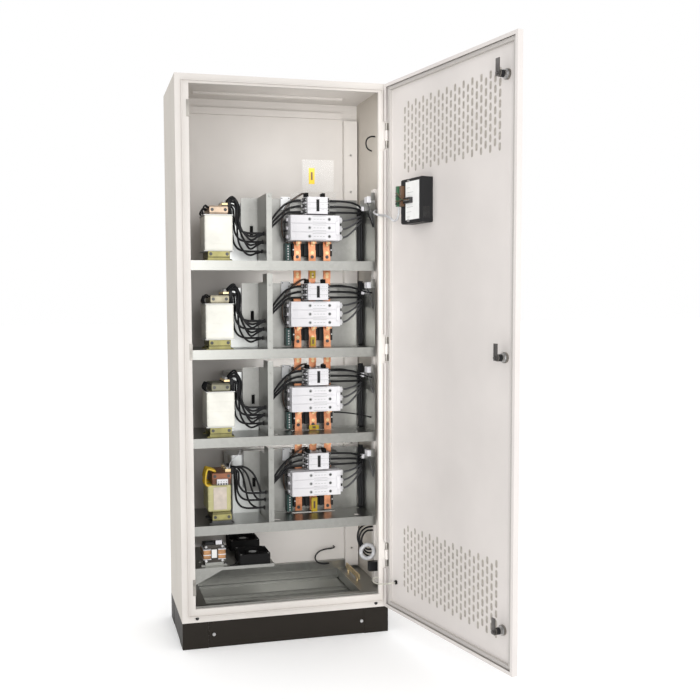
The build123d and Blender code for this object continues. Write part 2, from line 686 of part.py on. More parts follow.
def side_harness():
    """Looped wiring on the right front upright, a tied coil of spare cable and a connector."""
    face = 374
    runs = []
    for n in range(3):
        runs.append(cable([
            (face, 111, 404 - 14 * n), (348, 111, 404 - 14 * n), (314 + 8 * n, 104, 388 - 13 * n),
            (306 + 8 * n, 104, 350 - 7 * n), (326 + 6 * n, 108, 300 + 5 * n),
            (350, 111, 271 + 14 * n), (face, 111, 271 + 14 * n)], 7.0))
    connector = rounded((346, 386), (70, 96), (221, 257), 5.0)
    save("wall_harness", runs + [connector])
    ring = Pos(*point(344, 88, 297)) * Rot(90, 0, 0) * Torus(27, 7.8)
    save("spare_cable_coil", ring)


# ---- door ---------------------------------------------------------------------------
def door_panel():
    """Flat door skin with two slotted vents and the cut-outs for controller and locks."""
    skin = door_block((DOOR_HINGE_S, DOOR_FREE_S), (DOOR_SKIN_FRONT, DOOR_SKIN_BACK),
                      (DOOR_BOTTOM, DOOR_TOP))
    step = (VENT_S[1] - VENT_S[0] - SLOT_WIDTH) / (VENT_COLUMNS - 1)
    middle = door_x((VENT_S[0] + VENT_S[1]) / 2)
    plane = Plane(origin=point(middle, DOOR_SKIN_FRONT - 3, 0), x_dir=(1, 0, 0), z_dir=(0, 1, 0))
    slots = []
    for centre_z in VENT_CENTRES_Z:
        for column in range(VENT_COLUMNS):
            rows = VENT_ROWS - column % 2
            x = step * (column - (VENT_COLUMNS - 1) / 2)
            for row in range(rows):
                z = centre_z + VENT_ROW_PITCH * (row - (rows - 1) / 2)
                slots.append(Pos(x, -z, 0) * SlotOverall(SLOT_HEIGHT, SLOT_WIDTH, rotation=90))
    cutter = extrude(plane * Sketch(children=slots), 10)
    skin = skin - cutter
    window = door_block((CONTROLLER_S[0] + 1, CONTROLLER_S[1] - 1), (-30, -15),
                        (CONTROLLER_Z[0] + 1, CONTROLLER_Z[1] - 1))
    stud = rod((door_x(62), DOOR_SKIN_BACK, 214), (door_x(62), -15, 214), 4.5)
    skin = joined(skin, stud)
    locks = [rod((door_x(LOCK_S), -30, z), (door_x(LOCK_S), -15, z), 11.2) for z in LOCK_Z]
    save("door_panel", on_door(cut(skin, window, *locks)))


def door_rim():
    """Turned edge of the door with its inner lip, open at the three hinges, and the seal."""
    s = (DOOR_HINGE_S, DOOR_FREE_S)
    z = (DOOR_BOTTOM, DOOR_TOP)
    outer = door_block(s, (DOOR_SKIN_BACK, DOOR_RIM_BACK), z)
    hollow = door_block((s[0] + SHEET, s[1] - SHEET), (DOOR_SKIN_BACK - 5, DOOR_RIM_BACK - SHEET),
                        (z[0] + SHEET, z[1] - SHEET))
    mouth = door_block((s[0] + 12, s[1] - 12), (-40, 5), (z[0] + 12, z[1] - 12))
    rim = outer - hollow - mouth
    for hinge_z in HINGE_Z:
        rim = rim - door_block((DOOR_HINGE_S - 1, 30), (DOOR_SKIN_BACK, 5),
                               (hinge_z - 52, hinge_z + 52))
    save("door_rim", on_door(rim))
    g = GUTTER_INSET - 5.0
    seal = door_block((g - 5.0, DOOR_FREE_S - g + 2), (DOOR_SKIN_BACK, -12.0),
                      (PLINTH_HEIGHT + g, TOP - g))
    inside = door_block((g + 7.0, DOOR_FREE_S - g - 10), (-40, 5),
                        (PLINTH_HEIGHT + g + 12, TOP - g - 12))
    seal = seal - inside
    for hinge_z in HINGE_Z:
        seal = seal - door_block((DOOR_HINGE_S - 1, 19), (DOOR_SKIN_BACK, 5),
                                 (hinge_z - 48, hinge_z + 48))
    save("door_seal", on_door(seal))


def locks():
    """Three quarter-turn locks: fixed housings, and turning inserts with their cams."""
    housings = []
    x = door_x(LOCK_S)
    for n, z in enumerate(LOCK_Z):
        flange = rod((x, -29, z), (x, DOOR_SKIN_FRONT, z), 15.0)
        barrel = rod((x, DOOR_SKIN_FRONT, z), (x, 12, z), 11.0)
        nut = rod((x, DOOR_SKIN_BACK, z), (x, -16, z), 17.0)
        bore = rod((x, -40, z), (x, 20, z), 7.05)
        housings.append(joined(flange, barrel, nut) - bore)
        insert = rod((x, -28, z), (x, 14.5, z), 7.0)
        insert = insert - block((x - 3.5, x + 3.5), (-30, -20), (z - 3.5, z + 3.5))
        arm = block((x - 9, x + 9), (14.5, 17.5), (z - 9, z + 45))
        bolt = rod((x, 17.5, z), (x, 22, z), 5.0)
        save(f"lock_cam_{n + 1}", on_door(joined(insert, arm, bolt)))
    save("lock_housings", on_door(housings))


def controller():
    """Reactive power controller let into the door, with a display and four keys."""
    back_d = DOOR_SKIN_BACK + CONTROLLER_BACK + 12
    s, z = CONTROLLER_S, CONTROLLER_Z
    case = door_block(s, (DOOR_SKIN_BACK, back_d), z)
    case = fillet(case.edges().filter_by(Axis.Z), 3.0)
    neck = door_block((s[0] + 2, s[1] - 2), (DOOR_SKIN_FRONT, DOOR_SKIN_BACK), (z[0] + 2, z[1] - 2))
    label = door_block((s[0] + 32, s[1] - 6), (back_d, back_d + 1.5), (z[0] + 10, z[1] - 10))
    plugs = [door_block((s[0] + 2, s[0] + 16), (back_d, back_d + 22), (z[0] + 62, z[1] - 24)),
             door_block((s[0] + 17, s[0] + 28), (back_d, back_d + 16), (z[0] + 62, z[1] - 24)),
             door_block((s[0] + 40, s[0] + 84), (back_d + 1.5, back_d + 14), (z[0] + 70, z[0] + 90))]
    save("controller_case", on_door([joined(case, neck), label] + plugs))
    bezel = door_block((s[0] - 6, s[1] + 6), (DOOR_SKIN_FRONT - 12, DOOR_SKIN_FRONT),
                       (z[0] - 6, z[1] + 6))
    bezel = fillet(bezel.edges().filter_by(Axis.Y), 5.0)
    display = ((s[0] + 14, s[1] - 14), (z[0] + 70, z[1] - 18))
    bezel = bezel - door_block(display[0], (-40, DOOR_SKIN_FRONT - 9), display[1])
    key_z = z[0] + 30
    key_s = [s[0] + 24 + 28 * n for n in range(KEY_COUNT)]
    for ks in key_s:
        bezel = bezel - door_block((ks - 9, ks + 9), (-40, DOOR_SKIN_FRONT - 5),
                                   (key_z - 7, key_z + 7))
    screen = door_block((display[0][0] + 0.2, display[0][1] - 0.2),
                        (DOOR_SKIN_FRONT - 11, DOOR_SKIN_FRONT - 9),
                        (display[1][0] + 0.2, display[1][1] - 0.2))
    save("controller_bezel", on_door([bezel, screen]))
    for n, ks in enumerate(key_s):
        key = door_block((ks - 8.4, ks + 8.4), (DOOR_SKIN_FRONT - 14, DOOR_SKIN_FRONT - 7),
                         (key_z - 6.4, key_z + 6.4))
        key = fillet(key.edges().filter_by(Axis.Y), 2.0)
        save(f"controller_key_{n + 1}", on_door(key))


def door_leads():
    """Control cable and earth lead that cross from the cabinet to the door."""
    axis = Vector(*point(HINGE_X, HINGE_D, 0))
    turn = math.radians(DOOR_OPEN)
    along = Vector(-math.cos(turn), -math.sin(turn), 0)
    outward = Vector(math.sin(turn), -math.cos(turn), 0)

    def at_door(s, inside, z):
        """Point a distance from the hinge axis and a distance inside it, as x, depth, z."""
        spot = axis + along * s - outward * inside
        return (spot.X, spot.Y + DEPTH / 2, z)

    control = cable([(385, 96, 1640), (385, 72, 1640), (372, 48, 1634), (352, 26, 1626),
                     (345, 2, 1618), (350, -24, 1610), (362, -54, 1604), at_door(84, 58, 1600),
                     at_door(116, 57, 1590), at_door(144, 55, 1574), at_door(167, 54, 1578),
                     at_door(178, 54, 1599), at_door(178, 54, 1622)], 8.0)
    earth = cable([(362, 6, 214), (346, 6, 214), (334, -6, 210), (334, -26, 206),
                   (346, -46, 204), (366, -64, 208), at_door(62, 17, 214),
                   at_door(62, -1, 214)], 5.0)
    save("control_cable", control)
    save("earth_lead", earth)


enclosure()
front_frame()
base()
fixings()
hinges()
uprights()
wall_trim()
racks()
lower_shelf()
side_harness()
door_panel()
door_rim()
locks()
controller()
door_leads()
for diameter, radii in RADII:
    print("cable", diameter, "mm, arc radii", radii)
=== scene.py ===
"""Looks of the power factor correction cabinet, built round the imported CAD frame."""
import json
import math
import random

import bmesh
import bpy
from mathutils import Matrix, Vector


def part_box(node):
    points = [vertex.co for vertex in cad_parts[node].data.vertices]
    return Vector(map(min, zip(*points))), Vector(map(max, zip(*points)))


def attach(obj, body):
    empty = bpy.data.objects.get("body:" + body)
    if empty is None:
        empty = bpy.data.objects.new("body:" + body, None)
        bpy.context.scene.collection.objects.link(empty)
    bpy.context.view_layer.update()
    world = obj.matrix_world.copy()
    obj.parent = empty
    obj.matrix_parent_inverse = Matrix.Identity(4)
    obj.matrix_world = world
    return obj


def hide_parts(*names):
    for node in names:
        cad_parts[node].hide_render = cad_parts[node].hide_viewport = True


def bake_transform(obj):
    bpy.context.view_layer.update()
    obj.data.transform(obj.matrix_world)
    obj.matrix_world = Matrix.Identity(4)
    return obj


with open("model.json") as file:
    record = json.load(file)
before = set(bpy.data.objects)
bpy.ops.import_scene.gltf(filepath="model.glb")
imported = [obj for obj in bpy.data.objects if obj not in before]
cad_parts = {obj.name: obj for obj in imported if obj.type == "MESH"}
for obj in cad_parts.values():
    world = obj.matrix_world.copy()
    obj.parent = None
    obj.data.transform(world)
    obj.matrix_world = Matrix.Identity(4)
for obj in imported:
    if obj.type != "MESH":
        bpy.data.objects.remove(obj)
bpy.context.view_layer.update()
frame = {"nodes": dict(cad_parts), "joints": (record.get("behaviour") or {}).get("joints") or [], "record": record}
nodes = frame["nodes"]
rng = random.Random(7)

# ---- places read from the frame ----
MM = 0.001
DOOR_OPEN = math.radians(101.8)
RACKS = range(4)
LID_ABOVE_TRAY = 0.081
rack_top = [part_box(f"fuse_lid_{i + 1}")[0].z - LID_ABOVE_TRAY for i in RACKS]
front_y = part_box("side_walls")[0].y - 2 * MM
hinge_joint = next(j for j in frame["joints"] if j["name"] == "door_hinge")
hinge_axis = Vector(hinge_joint["pos_m"])
hinge_foot = Vector((hinge_axis.x, hinge_axis.y, 0))
DOOR_TURN = (Matrix.Translation(hinge_foot) @ Matrix.Rotation(DOOR_OPEN, 4, "Z")
             @ Matrix.Translation(-hinge_foot))

# ---- directions, and places that several pieces share, in millimetres ----
# Depths are behind the front face, rack heights above a tray's top, which the functions call t,
# and door distances are out from the hinge, with the door shut.
FRONT, BACK, UP = (0, -1, 0), (0, 1, 0), (0, 0, 1)
TRAYS = [top / MM for top in rack_top]
SMALL_RACK = 3
HINGE_X = hinge_axis.x / MM
POLES = (87, 147, 207)
CABLE_HOLES = ((100, 105), (118, 74), (136, 39))
CORE_DEPTH = (72, 206)
COIL_PITCH = (CORE_DEPTH[1] - CORE_DEPTH[0]) / 3
COIL_MIDDLES = [CORE_DEPTH[0] + COIL_PITCH * (n + 0.5) for n in range(3)]
COIL_HALF = COIL_PITCH / 2 - 0.9
FUSE_ROWS = [96.33 + 32.67 * n for n in range(3)]
SHELF_TOP = 290
LOCK_OUT = 715
CONTROLLER_OUT = (170, 302)
CONTROLLER_HEIGHT = (1560, 1718)


def at(x, depth, z):
    """Point from millimetres: x, depth behind the front face, height."""
    return Vector((x * MM, front_y + depth * MM, z * MM))


# ---- materials ----
# Every finish by its name. Each maker below adds one.
MAT = {}


def shader(name, color, rough, metal=0.0, **sockets):
    """New entry of MAT; constants besides its colour, roughness and metal go on named sockets."""
    mat = bpy.data.materials.new(name)
    mat.use_nodes = True
    MAT[name] = mat
    inputs = main_inputs(mat)
    inputs["Base Color"].default_value = (*color, 1.0)
    inputs["Roughness"].default_value = rough
    inputs["Metallic"].default_value = metal
    for key, value in sockets.items():
        inputs[key.replace("_", " ")].default_value = value
    return mat


def main_inputs(mat):
    """Sockets of a material's main shader."""
    return mat.node_tree.nodes["Principled BSDF"].inputs


def texture(mat, kind, scale, stretch=(1, 1, 1), output="Fac", bands=None, **values):
    """Output of a texture fed by the piece's own coordinates, in metres."""
    tree = mat.node_tree
    coords = tree.nodes.new("ShaderNodeTexCoord")
    mapping = tree.nodes.new("ShaderNodeMapping")
    mapping.inputs["Scale"].default_value = stretch
    tree.links.new(coords.outputs["Object"], mapping.inputs["Vector"])
    tex = tree.nodes.new(f"ShaderNodeTex{kind}")
    tex.inputs["Scale"].default_value = scale
    for key, value in values.items():
        tex.inputs[key].default_value = value
    if bands:
        tex.bands_direction = bands
    tree.links.new(mapping.outputs["Vector"], tex.inputs["Vector"])
    return tex.outputs[output]


def ramp(mat, source, low, high, start=0.3, end=0.7):
    """Colour from low to high driven by a texture."""
    node = mat.node_tree.nodes.new("ShaderNodeValToRGB")
    for element, color, position in zip(node.color_ramp.elements, (low, high), (start, end)):
        element.color = (*color, 1.0)
        element.position = position
    mat.node_tree.links.new(source, node.inputs["Fac"])
    return node.outputs["Color"]


def spread(mat, source, low, high):
    """Number from low to high driven by a texture."""
    node = mat.node_tree.nodes.new("ShaderNodeMapRange")
    node.inputs["To Min"].default_value = low
    node.inputs["To Max"].default_value = high
    mat.node_tree.links.new(source, node.inputs["Value"])
    return node.outputs["Result"]


def bump(mat, source, strength, distance, under=None):
    """Bump driven by a texture, laid over another bump where one is given."""
    node = mat.node_tree.nodes.new("ShaderNodeBump")
    node.inputs["Strength"].default_value = strength
    node.inputs["Distance"].default_value = distance
    mat.node_tree.links.new(source, node.inputs["Height"])
    if under is not None:
        mat.node_tree.links.new(under, node.inputs["Normal"])
    mat.node_tree.links.new(node.outputs["Normal"], main_inputs(mat)["Normal"])
    return node.outputs["Normal"]


def tinted(color, by):
    """Colour made darker or lighter by a factor."""
    return tuple(min(1.0, max(0.0, c * by)) for c in color)


def vary_color(mat, source, low, high, start=0.3, end=0.7):
    """Base colour from low to high driven by a texture."""
    color = ramp(mat, source, low, high, start, end)
    mat.node_tree.links.new(color, main_inputs(mat)["Base Color"])


def vary_rough(mat, source, low, high):
    """Roughness from low to high driven by a texture."""
    mat.node_tree.links.new(spread(mat, source, low, high), main_inputs(mat)["Roughness"])


def mix_color(mat, factor, first, second, blend="MIX"):
    """Base colour mixed of two; each of the three is a constant or another node's output."""
    node = mat.node_tree.nodes.new("ShaderNodeMix")
    node.data_type = "RGBA"
    node.blend_type = blend
    for source, socket in ((factor, 0), (first, 6), (second, 7)):
        if isinstance(source, bpy.types.NodeSocket):
            mat.node_tree.links.new(source, node.inputs[socket])
        else:
            node.inputs[socket].default_value = source
    mat.node_tree.links.new(node.outputs[2], main_inputs(mat)["Base Color"])


def powder_coat(name, color, rough=0.42, grain=700):
    """Textured powder coat: orange peel, faint tone drift and scuffed gloss."""
    mat = shader(name, color, rough)
    cloud = texture(mat, "Noise", 5.0, Detail=4.0)
    peel = texture(mat, "Noise", grain, Detail=2.0)
    smear = texture(mat, "Noise", 14.0, (1, 1, 0.3), Detail=6.0)
    vary_color(mat, cloud, tinted(color, 0.96), tinted(color, 1.03))
    vary_rough(mat, smear, rough - 0.08, rough + 0.1)
    bump(mat, peel, 0.35, 0.00006)


def zinc(name, color=(0.302, 0.302, 0.284), rough=0.32, cell=75):
    """Hot-dip zinc: crystal flakes of different tone, white bloom and drawn scratches."""
    mat = shader(name, color, rough, 0.96)
    flakes = texture(mat, "Voronoi", cell, output="Color")
    bloom = texture(mat, "Noise", 9.0, Detail=7.0)
    lines = texture(mat, "Noise", 260, (0.06, 1, 1), Detail=3.0)
    tone = ramp(mat, flakes, tinted(color, 0.94), tinted(color, 1.05), 0.1, 0.9)
    mix_color(mat, spread(mat, bloom, -0.25, 0.75), tone, (*tinted(color, 1.12), 1.0))
    vary_rough(mat, flakes, rough - 0.02, rough + 0.04)
    bump(mat, lines, 0.08, 0.00002)


def bare_metal(name, color, rough=0.3, stain=None):
    """Drawn or rolled metal with fine lines along Z and tarnish."""
    mat = shader(name, color, rough, 1.0)
    cloud = texture(mat, "Noise", 26.0, Detail=6.0)
    lines = texture(mat, "Noise", 600, (1, 1, 0.05), Detail=2.0)
    vary_color(mat, cloud, stain or tinted(color, 0.6), color, 0.32, 0.62)
    vary_rough(mat, lines, rough - 0.1, rough + 0.22)
    bump(mat, lines, 0.2, 0.00003)


def plastic(name, color, rough=0.42, grain=900, speckle=0.04):
    """Moulded plastic with spark-eroded grain and slight handling marks."""
    mat = shader(name, color, rough)
    cloud = texture(mat, "Noise", 40.0, Detail=5.0)
    fine = texture(mat, "Noise", grain, Detail=3.0)
    vary_color(mat, cloud, tinted(color, 1 - speckle), tinted(color, 1 + speckle))
    vary_rough(mat, cloud, rough - 0.07, rough + 0.1)
    bump(mat, fine, 0.3, 0.00005)


def cable_sheath(name, color, rough=0.4):
    """Extruded sheath: long flow lines and dusty patches."""
    mat = shader(name, color, rough)
    dust = texture(mat, "Noise", 60.0, Detail=6.0)
    flow = texture(mat, "Noise", 900, (1, 1, 0.2), Detail=2.0)
    vary_color(mat, dust, color, tinted(color, 2.2), 0.5, 0.95)
    bump(mat, flow, 0.3, 0.00008)


def laminated(name, color, pitch=0.0012, axis="Y"):
    """Stacked sheets or turns under varnish: dark joints about one pitch apart along an axis."""
    mat = shader(name, color, 0.4, 0.35)
    scale = 1.0 / (math.pi * pitch)
    joints = texture(mat, "Wave", scale, bands=axis, Distortion=0.6, Detail=2.0)
    runs = texture(mat, "Noise", 30.0, Detail=6.0)
    tone = ramp(mat, runs, tinted(color, 0.7), tinted(color, 1.2))
    lines = ramp(mat, joints, (0.45, 0.45, 0.45), (1, 1, 1), 0.05, 0.4)
    mix_color(mat, 1.0, tone, lines, "MULTIPLY")
    bump(mat, joints, 0.4, 0.0003)


def wrap(name, color, rough=0.5):
    """Varnished woven tape round a winding: a fine weave with regular overlaps."""
    mat = shader(name, color, rough, Coat_Weight=0.25, Coat_Roughness=0.25)
    lap = texture(mat, "Wave", 17.0, bands="Z", Distortion=1.2, Detail=2.0)
    weave = texture(mat, "Noise", 420, (1, 1, 3), Detail=3.0)
    pool = texture(mat, "Noise", 12.0, Detail=6.0)
    vary_color(mat, pool, tinted(color, 0.86), tinted(color, 1.05))
    overlaps = bump(mat, lap, 0.25, 0.0006)
    bump(mat, weave, 0.35, 0.00012, overlaps)


def foam(name, color):
    """Foamed sealing strip: open skin with fine pits."""
    mat = shader(name, color, 0.8)
    pits = texture(mat, "Voronoi", 700, output="Distance")
    vary_color(mat, pits, tinted(color, 0.7), tinted(color, 1.05), 0.0, 0.5)
    bump(mat, pits, 0.6, 0.0004)


def fibre_mat(name, color):
    """Filter mat behind the vent slots: matted fibres."""
    mat = shader(name, color, 0.95)
    fibres = texture(mat, "Noise", 420, (1, 1, 0.35), Detail=5.0)
    vary_color(mat, fibres, tinted(color, 0.6), tinted(color, 1.35))
    bump(mat, fibres, 0.7, 0.0006)


def clear(name, color, rough=0.05, alpha=0.2):
    """Thin clear plastic sheet with faint wipe marks."""
    mat = shader(name, color, rough, Alpha=alpha, IOR=1.5)
    wipe = texture(mat, "Noise", 22.0, (1, 1, 3), Detail=7.0)
    vary_rough(mat, wipe, rough, rough + 0.12)


powder_coat("cabinet_paint", (0.66, 0.625, 0.59))
# Side walls: the cabinet paint made darker and warmer, as painted shade on the outer and inner sides.
powder_coat("side_wall_painted_shade", (0.49, 0.45, 0.395))
powder_coat("door_paint", (0.68, 0.64, 0.615))
powder_coat("plinth_paint", (0.016, 0.0125, 0.009), 0.5, 500)
zinc("galvanised")
# Mounting plates: the galvanised zinc made darker, as painted shade on the plates.
zinc("plate_zinc_painted_shade", (0.262, 0.26, 0.246), 0.32)
bare_metal("hinge_steel", (0.38, 0.36, 0.33), 0.42)
bare_metal("bright_steel", (0.62, 0.62, 0.62), 0.3)
bare_metal("dark_steel", (0.10, 0.10, 0.10), 0.38)
bare_metal("worn_steel", (0.20, 0.19, 0.185), 0.4)
foam("seal_rubber", (0.50, 0.475, 0.45))
bare_metal("copper", (0.78, 0.36, 0.2), 0.33, (0.4, 0.15, 0.07))
bare_metal("brass_terminal", (0.78, 0.6, 0.34), 0.32)
plastic("black_plastic", (0.018, 0.018, 0.019), 0.45)
plastic("white_plastic", (0.68, 0.67, 0.69), 0.38, 900, 0.02)
# Cover white: brighter than the white plastic, as painted light on a cover that sits in shade.
plastic("cover_painted_light", (0.93, 0.94, 0.95), 0.35, 900, 0.02)
plastic("grey_plastic", (0.35, 0.36, 0.36), 0.42)
plastic("key_plastic", (0.42, 0.44, 0.45), 0.4)
plastic("green_plastic", (0.03, 0.11, 0.05), 0.4)
plastic("teal_plastic", (0.012, 0.065, 0.058), 0.42)
plastic("brown_plastic", (0.12, 0.065, 0.035), 0.42)
plastic("matt_black", (0.006, 0.006, 0.006), 0.75)
plastic("yellow_label", (0.56, 0.39, 0.012), 0.35, 300, 0.1)
plastic("paper_label", (0.80, 0.80, 0.78), 0.5, 500, 0.03)
plastic("faded_label", (0.56, 0.49, 0.42), 0.5, 300, 0.12)
wrap("coil_resin", (0.88, 0.87, 0.79))
wrap("coil_yellow", (0.50, 0.47, 0.22))
laminated("core_lacquer", (0.62, 0.47, 0.34))
laminated("olive_lacquer", (0.33, 0.30, 0.11))
laminated("khaki_lacquer", (0.40, 0.36, 0.25))
laminated("moss_lacquer", (0.22, 0.21, 0.14))
laminated("rust_lacquer", (0.26, 0.10, 0.05))
cable_sheath("loop_yellow", (0.62, 0.40, 0.03), 0.45)
fibre_mat("vent_mat", (0.40, 0.37, 0.33))
# Transformer core: a dark lacquer, made near black as painted shade for the dim low corner it stands in.
laminated("transformer_lacquer", (0.05, 0.043, 0.036), 0.001)
laminated("copper_winding", (0.52, 0.27, 0.12), 0.0016, "Z")
# Capacitor cases: a zinc much lighter than the galvanised sheet, as painted light on the cases deep in the racks.
zinc("capacitor_case", (0.56, 0.57, 0.56), 0.34, 30)
cable_sheath("black_cable", (0.012, 0.012, 0.013))
cable_sheath("grey_cable", (0.055, 0.055, 0.058))
cable_sheath("pale_cable", (0.42, 0.42, 0.43))
cable_sheath("earth_cable", (0.44, 0.43, 0.37))
clear("clear_sheet", (0.9, 0.93, 0.93), 0.04, 0.045)
clear("display_glass", (0.03, 0.05, 0.04), 0.08, 0.9)

for name in ("plinth_paint", "matt_black", "black_plastic", "black_cable"):
    main_inputs(MAT[name])["Specular IOR Level"].default_value = 0.2

# CAD nodes whose finish differs from the one that their slot names.
OWN_FINISH = {
    "door_panel": "door_paint",
    "door_rim": "door_paint",
    # darker side paint: painted shade on the side walls
    "side_walls": "side_wall_painted_shade",
    "spare_cable_coil": "pale_cable",
    "cable_rings": "black_cable",
    "hinge_brackets": "cabinet_paint",
    # darker zinc: painted shade on the mounting plates
    "mounting_plates": "plate_zinc_painted_shade",
    "fan_frames": "matt_black",
    "fan_rotor_1": "matt_black",
    "fan_rotor_2": "matt_black",
    "lock_cam_1": "worn_steel",
    "lock_cam_2": "worn_steel",
    "lock_cam_3": "worn_steel",
}

for row in frame["record"]["subparts"]:
    finishes = nodes[row["node"]].data.materials
    finishes.clear()
    finishes.append(MAT[OWN_FINISH.get(row["node"], row["material_slot"])])


# ---- mesh making ----
class Builder:
    """Gathers bevelled solids into one mesh, with the finishes that they name."""

    def __init__(self, name):
        self.name = name
        self.finishes = []
        self.bm = bmesh.new()

    def _take(self, made, finish, smooth=False):
        """Add a finished solid to the mesh."""
        if finish not in self.finishes:
            self.finishes.append(finish)
        index = self.finishes.index(finish)
        for face in made.faces:
            face.material_index = index
            face.smooth = smooth
        mesh = bpy.data.meshes.new("part")
        made.to_mesh(mesh)
        made.free()
        self.bm.from_mesh(mesh)
        bpy.data.meshes.remove(mesh)

    def box(self, x, depth, z, finish, bevel=0.6):
        """Bevelled block between two x values, depths and heights, in millimetres."""
        made = bmesh.new()
        bmesh.ops.create_cube(made, size=1.0)
        size = Vector((x[1] - x[0], depth[1] - depth[0], z[1] - z[0])) * MM
        centre = at((x[0] + x[1]) / 2, (depth[0] + depth[1]) / 2, (z[0] + z[1]) / 2)
        bmesh.ops.scale(made, vec=size, verts=made.verts)
        bmesh.ops.bevel(made, geom=made.edges[:], offset=min(bevel * MM, min(size) * 0.45),
                        segments=2, profile=0.6, affect="EDGES", clamp_overlap=True)
        bmesh.ops.translate(made, vec=centre, verts=made.verts)
        self._take(made, finish)

    def rod(self, start, end, radius, finish, sides=24, bevel=0.3):
        """Cylinder or prism between two points, its rims rounded."""
        a, b = Vector(start), Vector(end)
        made = bmesh.new()
        bmesh.ops.create_cone(made, cap_ends=True, segments=sides, radius1=radius * MM,
                              radius2=radius * MM, depth=(b - a).length)
        if bevel > 0:
            rims = [e for e in made.edges if sum(len(f.verts) > 4 for f in e.link_faces) == 1]
            bmesh.ops.bevel(made, geom=rims, offset=bevel * MM, segments=2, profile=0.5,
                            affect="EDGES", clamp_overlap=True)
        rotation = (b - a).to_track_quat("Z", "Y").to_matrix().to_4x4()
        bmesh.ops.transform(made, matrix=Matrix.Translation((a + b) / 2) @ rotation,
                            verts=made.verts)
        self._take(made, finish)

    def bolt(self, centre, outward, radius, finish, height=None):
        """Hexagon head with a washer, standing out along a direction."""
        out = Vector(outward) * MM
        washer = 0.9
        height = radius * 0.75 if height is None else height
        self.rod(centre, centre + out * washer, radius * 1.35, finish, 24, 0.2)
        self.rod(centre + out * washer, centre + out * (washer + height), radius, finish, 6, 0)

    def head(self, centre, outward, radius, finish):
        """Round screw head."""
        rise = Vector(outward) * radius * 0.45 * MM
        self.rod(centre, centre + rise, radius, finish, 20, radius * 0.25)

    def screw(self, centre, outward, radius, finish):
        """Round screw head with a dark cross slot."""
        self.head(centre, outward, radius, finish)
        out = Vector(outward)
        side = out.orthogonal().normalized()
        top = centre + out * radius * 0.46 * MM
        for way in (side, out.cross(side)):
            half = way * radius * 0.6 * MM
            self.rod(top - half, top + half, radius * 0.13, "dark_steel", 4, 0)

    def tube(self, points, radius, finish, sides=12, steps=8):
        """Round tube on a smooth curve through the points."""
        path = smooth_path(points, steps)
        made = bmesh.new()
        rings = []
        normal = (path[1] - path[0]).orthogonal().normalized()
        for n, p in enumerate(path):
            tangent = (path[min(n + 1, len(path) - 1)] - path[max(n - 1, 0)]).normalized()
            normal = (normal - tangent * normal.dot(tangent)).normalized()
            side = tangent.cross(normal)
            ring = []
            for k in range(sides):
                angle = 2 * math.pi * k / sides
                ring.append(made.verts.new(p + (normal * math.cos(angle)
                                                + side * math.sin(angle)) * radius * MM))
            rings.append(ring)
        for low, high in zip(rings, rings[1:]):
            for k in range(sides):
                made.faces.new((low[k], low[(k + 1) % sides], high[(k + 1) % sides], high[k]))
        made.faces.new(list(reversed(rings[0])))
        made.faces.new(rings[-1])
        self._take(made, finish, smooth=True)

    def done(self, body, replaces=(), turn=None):
        """Make the object, ride it on its body and hide the CAD parts that it replaces."""
        mesh = bpy.data.meshes.new(self.name)
        if turn is not None:
            bmesh.ops.transform(self.bm, matrix=turn, verts=self.bm.verts)
        bmesh.ops.recalc_face_normals(self.bm, faces=self.bm.faces)
        self.bm.to_mesh(mesh)
        self.bm.free()
        for finish in self.finishes:
            mesh.materials.append(MAT[finish])
        piece = add_object(self.name, mesh)
        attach(piece, body)
        if replaces:
            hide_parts(*replaces)


def add_object(name, data):
    """New object in the scene."""
    made = bpy.data.objects.new(name, data)
    bpy.context.scene.collection.objects.link(made)
    return made


def smooth_path(points, steps):
    """Catmull-Rom curve through the points, with a number of steps between each two."""
    pts = [Vector(p) for p in points]
    pts = [pts[0] * 2 - pts[1]] + pts + [pts[-1] * 2 - pts[-2]]
    path = []
    for n in range(1, len(pts) - 2):
        a, b, c, d = pts[n - 1:n + 3]
        for k in range(steps):
            t = k / steps
            path.append(0.5 * ((2 * b) + (c - a) * t + (2 * a - 5 * b + 4 * c - d) * t * t
                               + (3 * b - 3 * c + d - a) * t ** 3))
    path.append(pts[-2])
    return path


# ---- reactors ----
def wire_loops(b, x, depth, z, count, radius, finish):
    """Loose loops of winding wire bent over the top of a coil."""
    for n in range(count):
        d = depth[0] + (depth[1] - depth[0]) * (n + 0.5) / count
        slack = [rng.uniform(-3, 3) for _ in range(4)]
        b.tube([at(x[1], d, z[0]), at(x[0] + 3 + slack[0], d - 2, z[0] + 8),
                at(x[0] + slack[1] * 0.5, d + slack[2], (z[0] + z[1]) / 2),
                at(x[0] + 6, d + slack[3], z[1] - 3), at((x[0] + x[1]) / 2, d, z[1]),
                at(x[1] + 4, d + 1, z[1] - 9)], radius, finish, 8, 6)


def yoke_clamps(b, core_x, heights):
    """Clamp plates with bolts on both ends of the core; heights pairs a level with a finish."""
    for depth in ((CORE_DEPTH[0] - 3, CORE_DEPTH[0]), (CORE_DEPTH[1], CORE_DEPTH[1] + 3)):
        for z, finish in heights:
            b.box((core_x[0] - 1, core_x[1] + 1), depth, (z - 10, z + 10), finish, 0.5)
    for x in (core_x[0] + 9, core_x[1] - 9):
        for z, _ in heights:
            b.bolt(at(x, CORE_DEPTH[0] - 3, z), FRONT, 4.5, "dark_steel")


def core_feet(b, core_x, t, finish):
    """Two cross feet under the core, bolted down at both ends."""
    for depth in ((74, 94), (184, 204)):
        b.box((core_x[0] - 12, core_x[1] + 12), depth, (t, t + 3), finish, 0.4)
        b.box((core_x[0] - 2, core_x[1] + 2), depth, (t + 3, t + 12), finish, 0.4)
        for x in (core_x[0] - 7, core_x[1] + 7):
            b.bolt(at(x, sum(depth) / 2, t + 3), UP, 3.6, "dark_steel")


